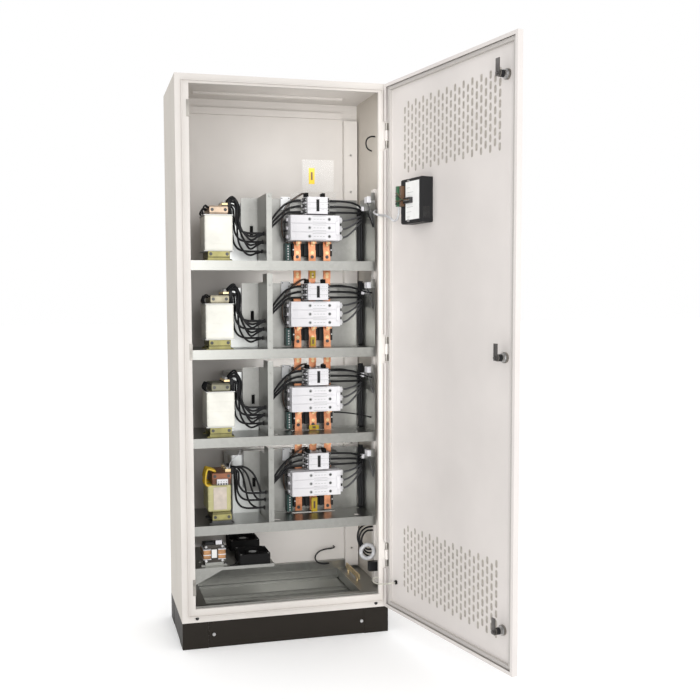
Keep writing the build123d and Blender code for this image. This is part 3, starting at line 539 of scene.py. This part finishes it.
def winding(b, core_x, coil_x, coil_z, middle, finish, laps, lap_height):
    """Taped coil round its limb of the core; laps places the turns of tape as shares of height."""
    low, high = coil_z
    b.box(coil_x, (middle - COIL_HALF, middle + COIL_HALF), coil_z, finish, 7)
    b.box((core_x[0] + 2, core_x[1] - 2), (middle - 10, middle + 10), (low - 4, high + 4),
          "olive_lacquer", 0.5)
    reach = COIL_HALF + 0.35
    for share in laps:
        z = low + (high - low) * share
        b.box((coil_x[0] - 0.5, coil_x[1] + 0.5), (middle - reach, middle + reach),
              (z, z + lap_height), finish, 6.5)


def collars(b, coil_x, coil_z, middle):
    """Pale collars round the lower and upper end of a coil."""
    reach = COIL_HALF + 0.3
    for z in (coil_z[0] - 2.5, coil_z[1] - 0.5):
        b.box((coil_x[0] - 2, coil_x[1] + 2), (middle - reach, middle + reach), (z, z + 3),
              "paper_label", 0.8)


def stud_terminal(b, middle, top, coil_top):
    """Terminal with its block, stud and nut, and three black leads down to the coil."""
    b.box((-222, -198), (middle - 10, middle + 10), (top, top + 4), "black_plastic", 1)
    b.box((-221, -199), (middle - 8, middle + 8), (top + 4, top + 12), "brass_terminal", 0.8)
    b.rod(at(-212, middle, top + 12), at(-212, middle, top + 22), 4, "bright_steel", 16)
    b.bolt(at(-212, middle, top + 13), UP, 6.2, "bright_steel", 5)
    b.box((-200, -186), (middle - 9, middle + 9), (top - 12, top + 16), "black_plastic", 2.4)
    for k in range(3):
        b.tube([at(-206 + 4 * k, middle - 4, top - 6),
                at(-196 + 4 * k, middle - 9 + k, top - 16 + 4 * k),
                at(-188 + 2 * k, middle - 6, coil_top + 6 - 6 * k),
                at(-184 + 2 * k, middle, coil_top - 18 - 12 * k)], 2.4, "black_cable")


def flat_terminal(b, middle, top):
    """Flat terminal with a nut and a black block beside it."""
    b.box((-221, -199), (middle - 9, middle + 9), (top, top + 12), "brass_terminal", 0.8)
    b.bolt(at(-210, middle, top + 12), UP, 6.2, "bright_steel", 5)
    b.box((-200, -188), (middle - 9, middle + 9), (top - 10, top + 16), "black_plastic", 2.4)


def reactor(i):
    """Large reactor: iron core, yokes and clamps, three taped windings, terminals and feet."""
    t = TRAYS[i]
    core_x = (-276, -197)
    yoke_x = (core_x[0] + 7, core_x[1] - 5)
    coil_x = (-289, -183)
    coil_z = (t + 38, t + 169)
    top = t + 203
    upper = ("core_lacquer", "khaki_lacquer", "moss_lacquer")[i]
    b = Builder(f"reactor_{i + 1}")
    b.box(core_x, CORE_DEPTH, (t + 12, coil_z[0] - 3), "olive_lacquer", 0.8)
    b.box(yoke_x, CORE_DEPTH, (coil_z[1] + 3, top), upper, 0.8)
    for middle in COIL_MIDDLES:
        winding(b, core_x, coil_x, coil_z, middle, "coil_resin", (0.16, 0.42, 0.7), 12)
        collars(b, coil_x, coil_z, middle)
        stud_terminal(b, middle, top, coil_z[1])
    wire_loops(b, (-292, -272), (76, 122), (coil_z[1] - 2, top + 2), 5, 1.5, "black_cable")
    wire_loops(b, (-290, -270), (132, 200), (coil_z[1] - 2, top - 2), 4, 1.7, "black_cable")
    yoke_clamps(b, core_x, ((t + 25, "olive_lacquer"),))
    yoke_clamps(b, yoke_x, ((coil_z[1] + 19, upper),))
    core_feet(b, core_x, t, "olive_lacquer")
    b.done("cabinet",
           ("reactor_cores", "reactor_coils", "reactor_terminals") if i == 0 else ())


def front_strip(b, coil_z):
    """Label on the windings of the small reactor and the terminal strip above it."""
    b.box((-268, -218), (71, 72.6), (coil_z[0] + 8, coil_z[1] - 8), "faded_label", 0.3)
    b.box((-256, -214), (60, 72), (coil_z[1] + 2, coil_z[1] + 24), "white_plastic", 1.6)
    for x in range(-250, -210, 10):
        b.screw(at(x, 60, coil_z[1] + 15), FRONT, 3.0, "bright_steel")
        b.box((x - 4, x + 3), (58.6, 61), (coil_z[1] + 3, coil_z[1] + 9), "dark_steel", 0.4)


def small_reactor(i):
    """Smaller reactor of the lowest rack, with yellow taped loops and a front terminal strip."""
    t = TRAYS[i]
    core_x = (-271.5, -201.5)
    coil_x = (-289, -201)
    coil_z = (t + 47, t + 148)
    top = t + 194
    b = Builder(f"reactor_{i + 1}")
    b.box(core_x, CORE_DEPTH, (t + 12, coil_z[0] - 3), "olive_lacquer", 0.8)
    b.box(core_x, CORE_DEPTH, (coil_z[1] + 3, top), "rust_lacquer", 0.8)
    for middle in COIL_MIDDLES:
        winding(b, core_x, coil_x, coil_z, middle, "coil_yellow", (0.08, 0.34, 0.62, 0.86), 9)
        flat_terminal(b, middle, top)
    front_strip(b, coil_z)
    wire_loops(b, (-296, -262), (74, 128), (coil_z[1] - 6, top + 14), 5, 4.2, "loop_yellow")
    wire_loops(b, (-290, -266), (138, 200), (coil_z[1] - 2, top + 6), 3, 3.4, "loop_yellow")
    b.tube([at(-206, 74, top + 16), at(-204, 72, top + 34), at(-190, 72, top + 54),
            at(-172, 76, top + 66), at(-160, 84, top + 84)], 1.3, "pale_cable", 8, 8)
    yoke_clamps(b, core_x, ((t + 26, "olive_lacquer"), (top - 12, "rust_lacquer")))
    core_feet(b, core_x, t, "dark_steel")
    b.done("cabinet")


# ---- contactors ----
def contactor(i):
    """Contactor on its side: stepped housing, armature window, terminals and cover screws."""
    t = TRAYS[i]
    z0, z1 = t + 182, t + 248
    b = Builder(f"contactor_{i + 1}")
    b.box((104, 200), (140, 168), (z0, z1), "white_plastic", 1.2)
    for x in ((106, 146), (160, 198)):
        b.box(x, (121, 141), (z0 + 0.5, z1 - 0.5), "white_plastic", 1.4)
    for x in ((112, 147), (159, 192)):
        b.box(x, (103.4, 123), (z0 + 1, z1 - 1), "white_plastic", 1.6)
    for z in ((z0 + 0.8, z0 + 10), (z1 - 10, z1 - 0.8)):
        b.box((145, 161), (103.6, 141), z, "white_plastic", 1.0)
    b.box((147, 159), (136, 141), (z0 + 9, z1 - 9), "grey_plastic", 0.4)
    for n in range(3):
        z = z0 + 11 + 22 * n
        for side, x, edge in ((-1, 110, 104), (1, 194, 200)):
            b.box((x - 7, x + 7), (117, 124), (z - 7.4, z + 7.4), "black_plastic", 0.8)
            b.screw(at(x, 117, z), FRONT, 3.6, "bright_steel")
            b.box((edge - 1.5, edge + 1.5), (138, 154), (z - 8, z + 8), "black_plastic", 0.6)
            b.rod(at(edge - side * 2, 146, z), at(edge + side * 9, 146, z), 4.3,
                  "bright_steel", 18, 0.4)
            b.rod(at(edge + side * 6, 146, z), at(edge + side * 26, 146, z), 4.1,
                  "black_plastic", 18, 0.8)
        if n < 2:
            for x in ((112.5, 146.5), (159.5, 191.5)):
                b.box(x, (102.9, 104.5), (z + 10.4, z + 11.6), "grey_plastic", 0.2)
    for x in (114, 120, 168, 174, 184):
        for z in (z0 + 16, z0 + 36, z0 + 52):
            b.box((x, x + 3), (103.1, 104), (z, z + 1.6), "grey_plastic", 0.2)
    for x in (112, 178):
        b.box((x - 6, x + 6), (112, 150), (z1 - 1, z1 + 15), "matt_black", 1.4)
        b.screw(at(x, 134, z1 + 14.8), UP, 4.2, "bright_steel")
    for x in (126, 152, 166):
        b.box((x, x + 7), (146, 160), (z1 - 1, z1 + 5), "white_plastic", 0.8)
    b.done("cabinet", ("contactor_bodies",) if i == 0 else ())


# ---- fuse switches ----
def fuse_base(i):
    """Fuse switch base: side walls, chamber ribs, output shrouds and bar clamps."""
    t = TRAYS[i]
    z0, z1 = t + 80, t + 178
    b = Builder(f"fuse_base_{i + 1}")
    b.box((42, 240), (164, 180), (z0, z1), "white_plastic", 1)
    for x in ((42, 66), (214, 240)):
        b.box(x, (122, 165), (z0, z1), "white_plastic", 1)
    outer, inner = 3.3, 6.67
    ribs = [(z0, outer), (z1 - outer, outer)]
    ribs += [(t + row + 13, inner) for row in FUSE_ROWS[:2]]
    for z, height in ribs:
        b.box((65, 215), (122, 165), (z, z + height), "white_plastic", 0.6)
    for row in FUSE_ROWS:
        z = t + row
        b.box((240, 255.6), (130, 160), (z - 10.6, z + 10.6), "white_plastic", 1.6)
        b.box((246, 256), (134, 156), (z - 7, z + 7), "grey_plastic", 0.8)
        b.rod(at(249, 145, z), at(262, 145, z), 4.6, "bright_steel", 18, 0.4)
        for x in (78, 202):
            b.box((x - 9, x + 9), (150, 164), (z - 8, z + 8), "brass_terminal", 0.6)
            for jaw in (z - 9, z + 6):
                b.box((x - 7, x + 7), (130, 152), (jaw, jaw + 3), "brass_terminal", 0.3)
        if row < FUSE_ROWS[2]:
            b.box((240, 252), (128, 158), (z + 11, z + 20), "black_plastic", 1.2)
        b.box((36, 43), (136, 158), (z - 6, z + 6), "white_plastic", 0.8)
        b.box((30, 40), (150, 166), (z - 11, z - 3), "black_plastic", 1)
    for x in POLES:
        b.box((x - 11, x + 11), (150, 180), (z0 - 9, z0 + 2), "copper", 0.8)
        b.bolt(at(x, 150, z0 - 5), FRONT, 4.2, "brass_terminal")
    b.done("cabinet", ("fuse_bases",) if i == 0 else ())


def fuse_lid(i):
    """Swinging lid: framed windows, test points, ribs and pull, with its three knife fuses."""
    t = TRAYS[i]
    z0, z1 = t + 81, t + 177
    b = Builder(f"fuse_lid_{i + 1}_cover")
    b.box((43.2, 239), (101, 121), (z0, z1), "white_plastic", 1.8)
    for row in FUSE_ROWS:
        z = t + row
        b.box((46, 226), (98.2, 102), (z - 15.2, z + 15.2), "white_plastic", 1.6)
        for up in (-11.6, 10.2):
            b.box((130, 184), (97.5, 98.6), (z + up, z + up + 1.4), "grey_plastic", 0.2)
        for k in range(4):
            b.box((134 + 12 * k, 142 + 12 * k), (97.6, 98.6), (z - 1, z + 0.6), "grey_plastic", 0.2)
        for x, hole in ((118, 3.4), (196, 4.6)):
            b.rod(at(x, 97.2, z), at(x, 99.5, z), 6.4, "grey_plastic", 24, 0.4)
            b.rod(at(x, 96.9, z), at(x, 98.5, z), hole, "dark_steel", 20, 0.2)
        for x in (56, 62, 68):
            b.box((x, x + 2), (97.4, 99), (z - 11, z + 11), "white_plastic", 0.4)
        b.box((104.4, 175.6), (122, 146), (z - 10.8, z + 10.8), "white_plastic", 3)
        for x in ((84, 105), (175, 196)):
            b.box(x, (132, 138), (z - 7, z + 7), "brass_terminal", 0.5)
        for x in ((102, 107), (173, 178)):
            b.box(x, (121.5, 146.4), (z - 11.2, z + 11.2), "bright_steel", 0.8)
        b.box((112, 168), (120.5, 122.5), (z - 8, z + 8), "white_plastic", 0.4)
    b.box((221.5, 236.5), (91.2, 101.5), (z0 + 22, z1 - 22), "white_plastic", 2.2)
    for n in range(5):
        z = z0 + 30 + n * 8.5
        b.box((224, 234), (90.8, 93), (z, z + 3), "white_plastic", 0.6)
    b.box((43.4, 48), (99, 120.6), (z0 + 8, z1 - 8), "white_plastic", 1.5)
    b.done(f"lid_{i + 1}", (f"fuse_lid_{i + 1}",))


# ---- copper joints ----
def tag(b, x, depth, z):
    """Plain yellow tag with a dark bar."""
    b.box(x, depth, z, "yellow_label", 0.5)
    width, height = x[1] - x[0], z[1] - z[0]
    b.box((x[0] + width * 0.34, x[1] - width * 0.34), (depth[0] - 0.3, depth[0] + 0.2),
          (z[0] + height * 0.25, z[1] - height * 0.25), "brown_plastic", 0.1)


def bar_joints():
    """Bolts with washers at every bar joint, and the brass studs above them."""
    b = Builder("bar_bolts")
    for i, t in enumerate(TRAYS):
        face = 180 if i == SMALL_RACK else 175
        for x in POLES:
            b.bolt(at(x, face, t + 22), FRONT, 5.0, "dark_steel")
            if i != SMALL_RACK:
                b.bolt(at(x, face, t + 38), FRONT, 5.0, "brass_terminal")
                for z in (t - 44, t - 56):
                    b.bolt(at(x, face, z), FRONT, 4.6, "brass_terminal")
            b.rod(at(x, 171, t + 68), at(x, 180, t + 68), 5, "brass_terminal", 18, 0.4)
    b.done("cabinet")


def bar_tags():
    """Plain yellow tags on the bars and the clear shield."""
    b = Builder("bar_tags")
    for i, x, top in ((1, (136, 156), 38), (2, (128, 168), 20), (3, (136, 160), 60)):
        t = TRAYS[i]
        tag(b, x, (164, 165.4), (t + 3, t + top))
    t = TRAYS[0]
    tag(b, (137, 159), (171, 172.4), (t - 62, t - 34))
    tag(b, (119, 142), (110.4, 111.8), (t + 296, t + 356))
    b.done("cabinet")


def holders():
    """Ribbed bar holders and the teal terminal strip beside each, with their screws."""
    b = Builder("bar_holder_blocks")
    for t in TRAYS:
        b.box((64, 230), (185.2, 219.6), (t + 25, t + 73), "black_plastic", 1.5)
        for x in (70, 117, 177, 223):
            b.box((x - 4, x + 4), (171, 187), (t + 25, t + 73), "black_plastic", 1.5)
        for x in (102, 132, 162, 192):
            b.box((x - 2, x + 2), (181, 187), (t + 24.5, t + 73.5), "black_plastic", 0.6)
        for x in (70, 223):
            b.head(at(x, 171, t + 49), FRONT, 3.2, "bright_steel")
        b.box((41, 62), (180, 219), (t + 6, t + 74), "teal_plastic", 1.2)
        for n in range(6):
            z = t + 13 + n * 10
            b.head(at(51.5, 180, z), FRONT, 3.0, "bright_steel")
    b.done("cabinet", ("bar_holders",))


# ---- lower shelf ----
def fan_hubs():
    """Hub caps that turn with the rotors."""
    for n in range(2):
        low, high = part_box(f"fan_rotor_{n + 1}")
        b = Builder(f"fan_hub_{n + 1}")
        top = Vector(((low.x + high.x) / 2, (low.y + high.y) / 2, high.z))
        up = Vector((0, 0, MM))
        b.rod(top - up * 0.8, top + up * 0.6, 22, "matt_black", 48, 0.4)
        b.rod(top + up * 0.4, top + up * 0.9, 15, "grey_plastic", 40, 0.1)
        b.done(f"rotor_{n + 1}")


def fan_screws():
    """Corner screws and cable tails of the fans."""
    b = Builder("fan_screws")
    middle_x, middles, half = -115, (110, 328), 52.5
    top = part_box("fan_frames")[1].z / MM
    for middle in middles:
        for x in (middle_x - half, middle_x + half):
            for depth in (middle - half, middle + half):
                b.screw(at(x, depth, top), UP, 3.4, "bright_steel")
        for depth in (middle, middle + 5):
            b.tube([at(-175, depth - 44, 300), at(-186, depth - 46, 296),
                    at(-198, depth - 60, 292.6), at(-212, depth - 66, 292.6)], 1.6,
                   "black_cable", 8, 6)
    b.done("cabinet")


def transformer():
    """Small control transformer: laminated core, bobbins, terminal strip and feet."""
    b = Builder("control_transformer_detail")
    z = SHELF_TOP
    core_depth = (72, 144)
    for low in (z + 12, z + 66):
        b.box((-305, -231), core_depth, (low, low + 14), "transformer_lacquer", 0.6)
    b.box((-281, -255), core_depth, (z + 24, z + 68), "transformer_lacquer", 0.4)
    b.box((-278, -258), (70.5, 73), (z + 30, z + 62), "paper_label", 0.4)
    for x in ((-311, -281), (-255, -225)):
        b.box((x[0] + 0.6, x[1] - 0.6), (62, 154), (z + 28, z + 64), "copper_winding", 5)
        b.box((x[0] + 0.2, x[1] - 0.2), (61, 155), (z + 42, z + 46), "white_plastic", 4.4)
        for flange in (z + 26.4, z + 63):
            b.box(x, (60.4, 155.6), (flange, flange + 2.4), "white_plastic", 0.6)
    b.box((-262, -238), (72, 92), (z + 80, z + 96), "white_plastic", 1.6)
    for x in (-258, -250, -242):
        b.screw(at(x, 82, z + 95.6), UP, 2.6, "bright_steel")
    b.box((-302, -270), (74, 96), (z + 80, z + 90), "black_plastic", 1.4)
    for depth in ((72, 84), (132, 144)):
        b.box((-318, -218), depth, (z, z + 3), "galvanised", 0.4)
        b.box((-303, -233), depth, (z + 3, z + 12), "galvanised", 0.4)
        for x in (-312, -224):
            b.bolt(at(x, sum(depth) / 2, z + 3), UP, 3.4, "bright_steel")
    for x in (-299, -237):
        for up in (19, 73):
            b.bolt(at(x, core_depth[0], z + up), FRONT, 3.6, "bright_steel")
    b.done("cabinet", ("control_transformer",))


# ---- door gear ----
def door_box(b, out, depth, z, finish, bevel=0.6):
    """Bevelled block on the shut door, between two distances out from the hinge."""
    b.box((HINGE_X - out[1], HINGE_X - out[0]), depth, z, finish, bevel)


def controller_plugs(b, s0, z0, z1):
    """Plug rows on the controller's back, with their screws, and the wires that leave them."""
    door_box(b, (s0 + 2.2, s0 + 15.8), (28, 50.8), (z0 + 62, z1 - 24), "green_plastic", 1)
    door_box(b, (s0 + 17.2, s0 + 27.8), (28, 44.8), (z0 + 62, z1 - 24), "brown_plastic", 1)
    door_box(b, (s0 + 40.2, s0 + 83.8), (30, 42.8), (z0 + 70.2, z0 + 89.8), "dark_steel", 1)
    x = HINGE_X - s0
    for n in range(5):
        z = z0 + 74 + n * 9
        finish = ("black_cable", "brown_plastic", "green_plastic")[n % 3]
        b.tube([at(x - 9, 50, z), at(x - 12, 58, z - 3), at(x - 24, 56, z - 4),
                at(x - 40, 48, z0 + 82 + n), at(x - 56 - 6 * n, 43, z0 + 81)], 1.4, finish, 8, 6)
        b.screw(at(x - 46 - 8 * n, 42.6, z0 + 80), BACK, 2.4, "bright_steel")
    for n in range(9):
        z = z0 + 67 + n * 7.6
        b.screw(at(x - 9, 50.6, z), BACK, 2.2, "bright_steel")
        b.screw(at(x - 22.5, 44.6, z), BACK, 2.0, "bright_steel")


def controller_body():
    """Back of the controller: moulded case, plain label, plugs, clamps and side vents."""
    b = Builder("controller_body")
    s0, s1 = CONTROLLER_OUT
    z0, z1 = CONTROLLER_HEIGHT
    for inset, depth, bevel in ((2.4, (-25, -22), 0.4), (0, (-22.8, 24), 2.4), (3, (22, 29), 1.8)):
        door_box(b, (s0 + inset, s1 - inset), depth, (z0 + inset, z1 - inset), "black_plastic",
                 bevel)
    door_box(b, (s0 + 36, s1 - 8), (28.6, 30.2), (z0 + 12, z1 - 12), "paper_label", 0.5)
    for n in range(7):
        z = z0 + 22 + n * 17
        door_box(b, (s0 + 44, s0 + 64 + 11 * (n % 3)), (30, 30.4), (z, z + 1.2), "grey_plastic",
                 0.1)
    controller_plugs(b, s0, z0, z1)
    for z in (z0 + 6, z0 + 144):
        door_box(b, (s0 + 50, s0 + 62), (29, 33), (z, z + 8), "bright_steel", 0.8)
    for n in range(10):
        z = z0 + 16 + n * 4
        for side in ((s1 - 0.8, s1 + 0.2), (s0 - 0.2, s0 + 0.8)):
            door_box(b, side, (-10, 18), (z, z + 1.6), "dark_steel", 0.2)
    b.done("door", ("controller_case",), DOOR_TURN)


def controller_face():
    """Window of the display with three digits of seven bars each."""
    b = Builder("controller_face")
    s0, s1 = CONTROLLER_OUT
    low, high = CONTROLLER_HEIGHT[0] + 70, CONTROLLER_HEIGHT[1] - 18
    door_box(b, (s0 + 14.4, s1 - 14.4), (-36.2, -34.2), (low + 0.4, high - 0.4), "display_glass",
             0.6)
    skin = (-36.5, -36.1)
    for n in range(3):
        x = HINGE_X - s1 + 30 + n * 26
        for z in (low + 16, low + 34, low + 52):
            b.box((x - 6, x + 6), skin, (z, z + 2.4), "green_plastic", 0.1)
        for z in (low + 19, low + 37):
            for side in (x - 8, x + 8):
                b.box((side - 1.2, side + 1.2), skin, (z, z + 15), "green_plastic", 0.1)
    b.done("door", (), DOOR_TURN)


def lock_trim():
    """Hexagon nuts and washers on the lock barrels, riding on the door."""
    b = Builder("lock_nuts")
    x = HINGE_X - LOCK_OUT
    for n in range(3):
        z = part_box(f"lock_cam_{n + 1}")[0].z / MM + 9
        b.rod(at(x, -16, z), at(x, -13.6, z), 15, "bright_steel", 30, 0.4)
        b.rod(at(x, -13.6, z), at(x, -6, z), 14, "bright_steel", 6, 0)
        b.rod(at(x, -5, z), at(x, 9, z), 11.3, "black_plastic", 30, 0.6)
    b.done("door", (), DOOR_TURN)


def vent_mats():
    """Thin mats set in the door skin behind its slots."""
    b = Builder("vent_mats")
    for middle in (322, 1880):
        door_box(b, (101, 690), (-24.7, -24.1), (middle - 136, middle + 136), "vent_mat", 0.05)
    b.done("door", (), DOOR_TURN)


def screw_heads():
    """Dark socket heads over the frame screws at the foot of the front."""
    b = Builder("frame_screw_heads")
    for x in (-345, 350):
        b.rod(at(x, -3.2, 116), at(x, -0.2, 116), 6.4, "matt_black", 28, 0.5)
        b.rod(at(x, -3.4, 116), at(x, -3.0, 116), 3.0, "dark_steel", 6, 0)
    b.done("cabinet")


def earth_nut():
    """Nut and stud end where the earth lead joins the door."""
    b = Builder("earth_nut")
    x, z = HINGE_X - 62, 214
    b.rod(at(x, -20, z), at(x, -15.4, z), 8.5, "matt_black", 6, 0)
    b.rod(at(x, -15.6, z), at(x, -13.2, z), 4.8, "dark_steel", 20, 0.4)
    b.done("door", (), DOOR_TURN)


def cable_ends():
    """Lugs at the reactors and bushes in the divider's holes, where the black cables end."""
    b = Builder("cable_lugs")
    for i, t in enumerate(TRAYS):
        lug = t + (200 if i == SMALL_RACK else 209)
        for c in COIL_MIDDLES:
            b.rod(at(-200.5, c, lug), at(-190, c, lug), 5.0, "black_plastic", 18, 0.5)
            b.box((-206, -199), (c - 6, c + 6), (lug - 2, lug + 2), "bright_steel", 0.4)
        for depth, up in CABLE_HOLES:
            b.rod(at(-63.5, depth, t + up), at(-54.5, depth, t + up), 8.2, "black_plastic",
                  28, 1.2)
    b.done("cabinet")


def large_rack_route(k, t):
    """Route of a further cable from a large reactor's top over to a hole in the divider."""
    hole, up = CABLE_HOLES[k % 3]
    d = 104 + 11 * k
    x = -159 + (0, 9, 5, -1, 8)[k]
    rise = (16, 26, 10, 22, 32)[k]
    sag = (25, 12, 14, 12, 26)[k]
    return [at(-204, d, t + 208), at(-192, d, t + 214 + rise * 0.5),
            at(-172 + k, d, t + 212 + rise), at(x, d, t + 200),
            at(x - 3, (d + hole) / 2, t + 156), at(x + 1, hole, t + up + 46),
            at(x + 16, hole - 3, t + up + 8), at(-112, hole - 4, t + up - sag),
            at(-84, hole - 2, t + up - sag * 0.5), at(-60, hole, t + up)]


def small_rack_route(k, t):
    """Route of a further cable from the small reactor's top down to a hole in the divider."""
    hole, up = CABLE_HOLES[k]
    d = 104 + 11 * k
    out = (27, 8, -6)[k]
    return [at(-202, d, t + 201), at(-184, d, t + 207),
            at(-160 + out * 0.5, d, t + 200 + out * 0.3),
            at(-138 + out, (d + hole) / 2, t + 150 + up * 0.3),
            at(-118 + out, hole, t + up + 34), at(-92 + out * 0.4, hole, t + up + 3),
            at(-60, hole, t + up)]


def cable_bundles():
    """Further black cable beside each reactor and plate, a black sheet behind each slot as painted shade, a white
    cover in painted light.
    """
    b = Builder("cable_bundles")
    for i, t in enumerate(TRAYS):
        if i == SMALL_RACK:
            routes = [small_rack_route(k, t) for k in range(3)]
        else:
            routes = [large_rack_route(k, t) for k in range(5)]
        for route in routes:
            b.tube(route, 3.9, "black_cable", 10, 7)
        # Black sheet behind the plate's slot: painted shade, so the slot reads dark.
        b.box((-91, -79), (219.2, 220.8), (t + 106, t + 142), "matt_black", 0.5)
        high = t + (212 if i == 0 else 258)
        for k in range(4):
            x, d = 346.8 + 4.4 * k, 210 - 3 * (k % 2)
            b.tube([at(x - 2, d - 7, high), at(x + 0.6, d, high - 34), at(x - 0.6, d + 1, t + 120),
                    at(x + 0.5, d, t + 56), at(x, d, t + 0.4)], 3.6, "black_cable", 10, 6)
        # white cover in the brighter white: painted light
        b.box((30, 68), (212, 219), (t + 206, t + 257), "cover_painted_light", 1.6)
        for x in (35, 63):
            b.screw(at(x, 212, t + 251), FRONT, 2.2, "dark_steel")
    b.done("cabinet")


def rack_wires():
    """Control wires of each rack, the guides that hold them and the plates' round screws."""
    b = Builder("control_wires")
    for i, t in enumerate(TRAYS):
        for k, finish in enumerate(("grey_cable", "brown_plastic", "black_cable")):
            x = 96 - 5 * k
            b.tube([at(116 + 6 * k, 152, t + 253), at(112, 156, t + 262 + 2 * k),
                    at(x, 160, t + 256), at(48 - 4 * k, 166, t + 216),
                    at(30 - 3 * k, 176, t + 160), at(34 - 2 * k, 184, t + 104),
                    at(46 + 4 * k, 186, t + 74)], 1.3, finish, 8, 6)
        b.box((350, 362), (180, 216), (t + 205, t + 222), "white_plastic", 1.2)
        b.box((346, 362.6), (90, 128), (t + 228, t + 252), "white_plastic", 1.5)
        b.tube([at(356, 120, t + 250), at(352, 110, t + 232), at(356, 92, t + 204),
                at(360, 78, t + 172), at(362, 70, t + 150)], 2.0, "grey_cable", 8, 8)
        if i in (1, 2):
            b.tube([at(200, 150, t + 238), at(262, 158, t + 240), at(320, 150, t + 226),
                    at(350, 120, t + 214), at(362, 84, t + 210)], 2.6, "black_cable")
        if i == 2:
            b.tube([at(236, 190, t + 66), at(290, 184, t + 62), at(340, 150, t + 56),
                    at(362, 96, t + 52)], 2.6, "black_cable")
        if i == 0:
            b.tube([at(362, 150, t + 196), at(356, 110, t + 184), at(358, 80, t + 160),
                    at(362, 64, t + 132)], 2.6, "black_cable")
        for up in (30, 240):
            b.head(at(-48, 50, t + up), FRONT, 4.2, "galvanised")
        for x in (-20, 250, 330):
            b.head(at(x, 220, t + 236), FRONT, 4.0, "galvanised")
    b.done("cabinet")


for i in RACKS:
    if i == SMALL_RACK:
        small_reactor(i)
    else:
        reactor(i)
    contactor(i)
    fuse_base(i)
    fuse_lid(i)
bar_joints()
bar_tags()
holders()
fan_hubs()
fan_screws()
transformer()
controller_body()
controller_face()
lock_trim()
vent_mats()
screw_heads()
earth_nut()
cable_ends()
cable_bundles()
rack_wires()


# ---- leads that cross the hinge ----
def crossing_lead(node, finish):
    """Copy of a lead's tube in a finish of its own, running between the cabinet and the door."""
    mesh = nodes[node].data.copy()
    mesh.materials.clear()
    mesh.materials.append(MAT[finish])
    piece = add_object(f"{node}_sheath", mesh)
    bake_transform(piece)
    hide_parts(node)


crossing_lead("control_cable", "pale_cable")
crossing_lead("earth_lead", "earth_cable")


# ---- stage ----
def floor():
    """Plain white floor round the cabinet."""
    mesh = bpy.data.meshes.new("floor")
    half = 60.0
    mesh.from_pydata([(-half, -half, 0), (half, -half, 0), (half, half, 0), (-half, half, 0)],
                     [], [(0, 1, 2, 3)])
    shader("floor", (0.97, 0.97, 0.97), 0.9, Emission_Color=(1, 1, 1, 1), Emission_Strength=0.12)
    mesh.materials.append(MAT["floor"])
    add_object("floor", mesh)


def surroundings():
    """Even white surroundings."""
    world = bpy.data.worlds.new("studio")
    world.use_nodes = True
    background = world.node_tree.nodes["Background"]
    background.inputs["Color"].default_value = (1, 1, 1, 1)
    background.inputs["Strength"].default_value = 1.0
    bpy.context.scene.world = world
    bpy.context.scene.view_settings.view_transform = "Standard"


def lamp(name, spot, aim, power, size, spread_deg=170):
    """Area light at a spot, turned to its aim; size is its width and height."""
    data = bpy.data.lights.new(name, "AREA")
    data.shape = "RECTANGLE"
    data.energy = power
    data.size, data.size_y = size
    data.spread = math.radians(spread_deg)
    light = add_object(name, data)
    light.location = spot
    light.rotation_mode = "QUATERNION"
    light.rotation_quaternion = (Vector(aim) - Vector(spot)).to_track_quat("-Z", "Y")
    light.visible_camera = False


def lamps():
    """Soft lights in front, a narrow one from the right and small fills inside the racks."""
    lamp("key", (-0.12, -3.1, 1.5), (0.12, 0, 1.15), 20, (0.5, 2.0))
    lamp("side", (0.9, -3.0, 1.9), (0.0, 0, 1.2), 4, (0.8, 1.4))
    lamp("right", (-0.15, -1.1, 1.12), (0.35, -0.2, 1.12), 1.15, (0.25, 1.9), 34)
    lamp("upper", (0.16, -0.17, 1.88), (0.2, 0.2, 1.84), 0.42, (0.34, 0.2))
    lamp("lower", (0.14, -0.1, 0.3), (0.12, 0.2, 0.33), 0.3, (0.3, 0.12))
    for i in RACKS[1:]:
        lamp(f"behind_{i + 1}", (0.15, front_y + 0.27, rack_top[i] + 0.235),
             (0.15, front_y + 0.4, rack_top[i] + 0.245), 0.34, (0.36, 0.03))


def camera():
    """Camera at the left of the front, a little above half height, level and turned right."""
    yaw, pitch, roll = (math.radians(a) for a in (14.29, -3.93, -0.32))
    ahead = Vector((math.sin(yaw) * math.cos(pitch), math.cos(yaw) * math.cos(pitch),
                    math.sin(pitch)))
    level = Vector((math.cos(yaw), -math.sin(yaw), 0))
    above = level.cross(ahead)
    right = level * math.cos(roll) + above * math.sin(roll)
    up = above * math.cos(roll) - level * math.sin(roll)
    data = bpy.data.cameras.new("camera")
    data.lens = 48.47
    data.sensor_width = 36.0
    data.shift_x = 0.0536
    data.shift_y = 0.028
    cam = add_object("camera", data)
    place = (-0.7709, -3.6236, 1.2736)
    basis = Matrix((right, up, -ahead)).transposed()
    cam.matrix_world = Matrix.Translation(place) @ basis.to_4x4()
    bpy.context.scene.camera = cam


floor()
surroundings()
lamps()
camera()
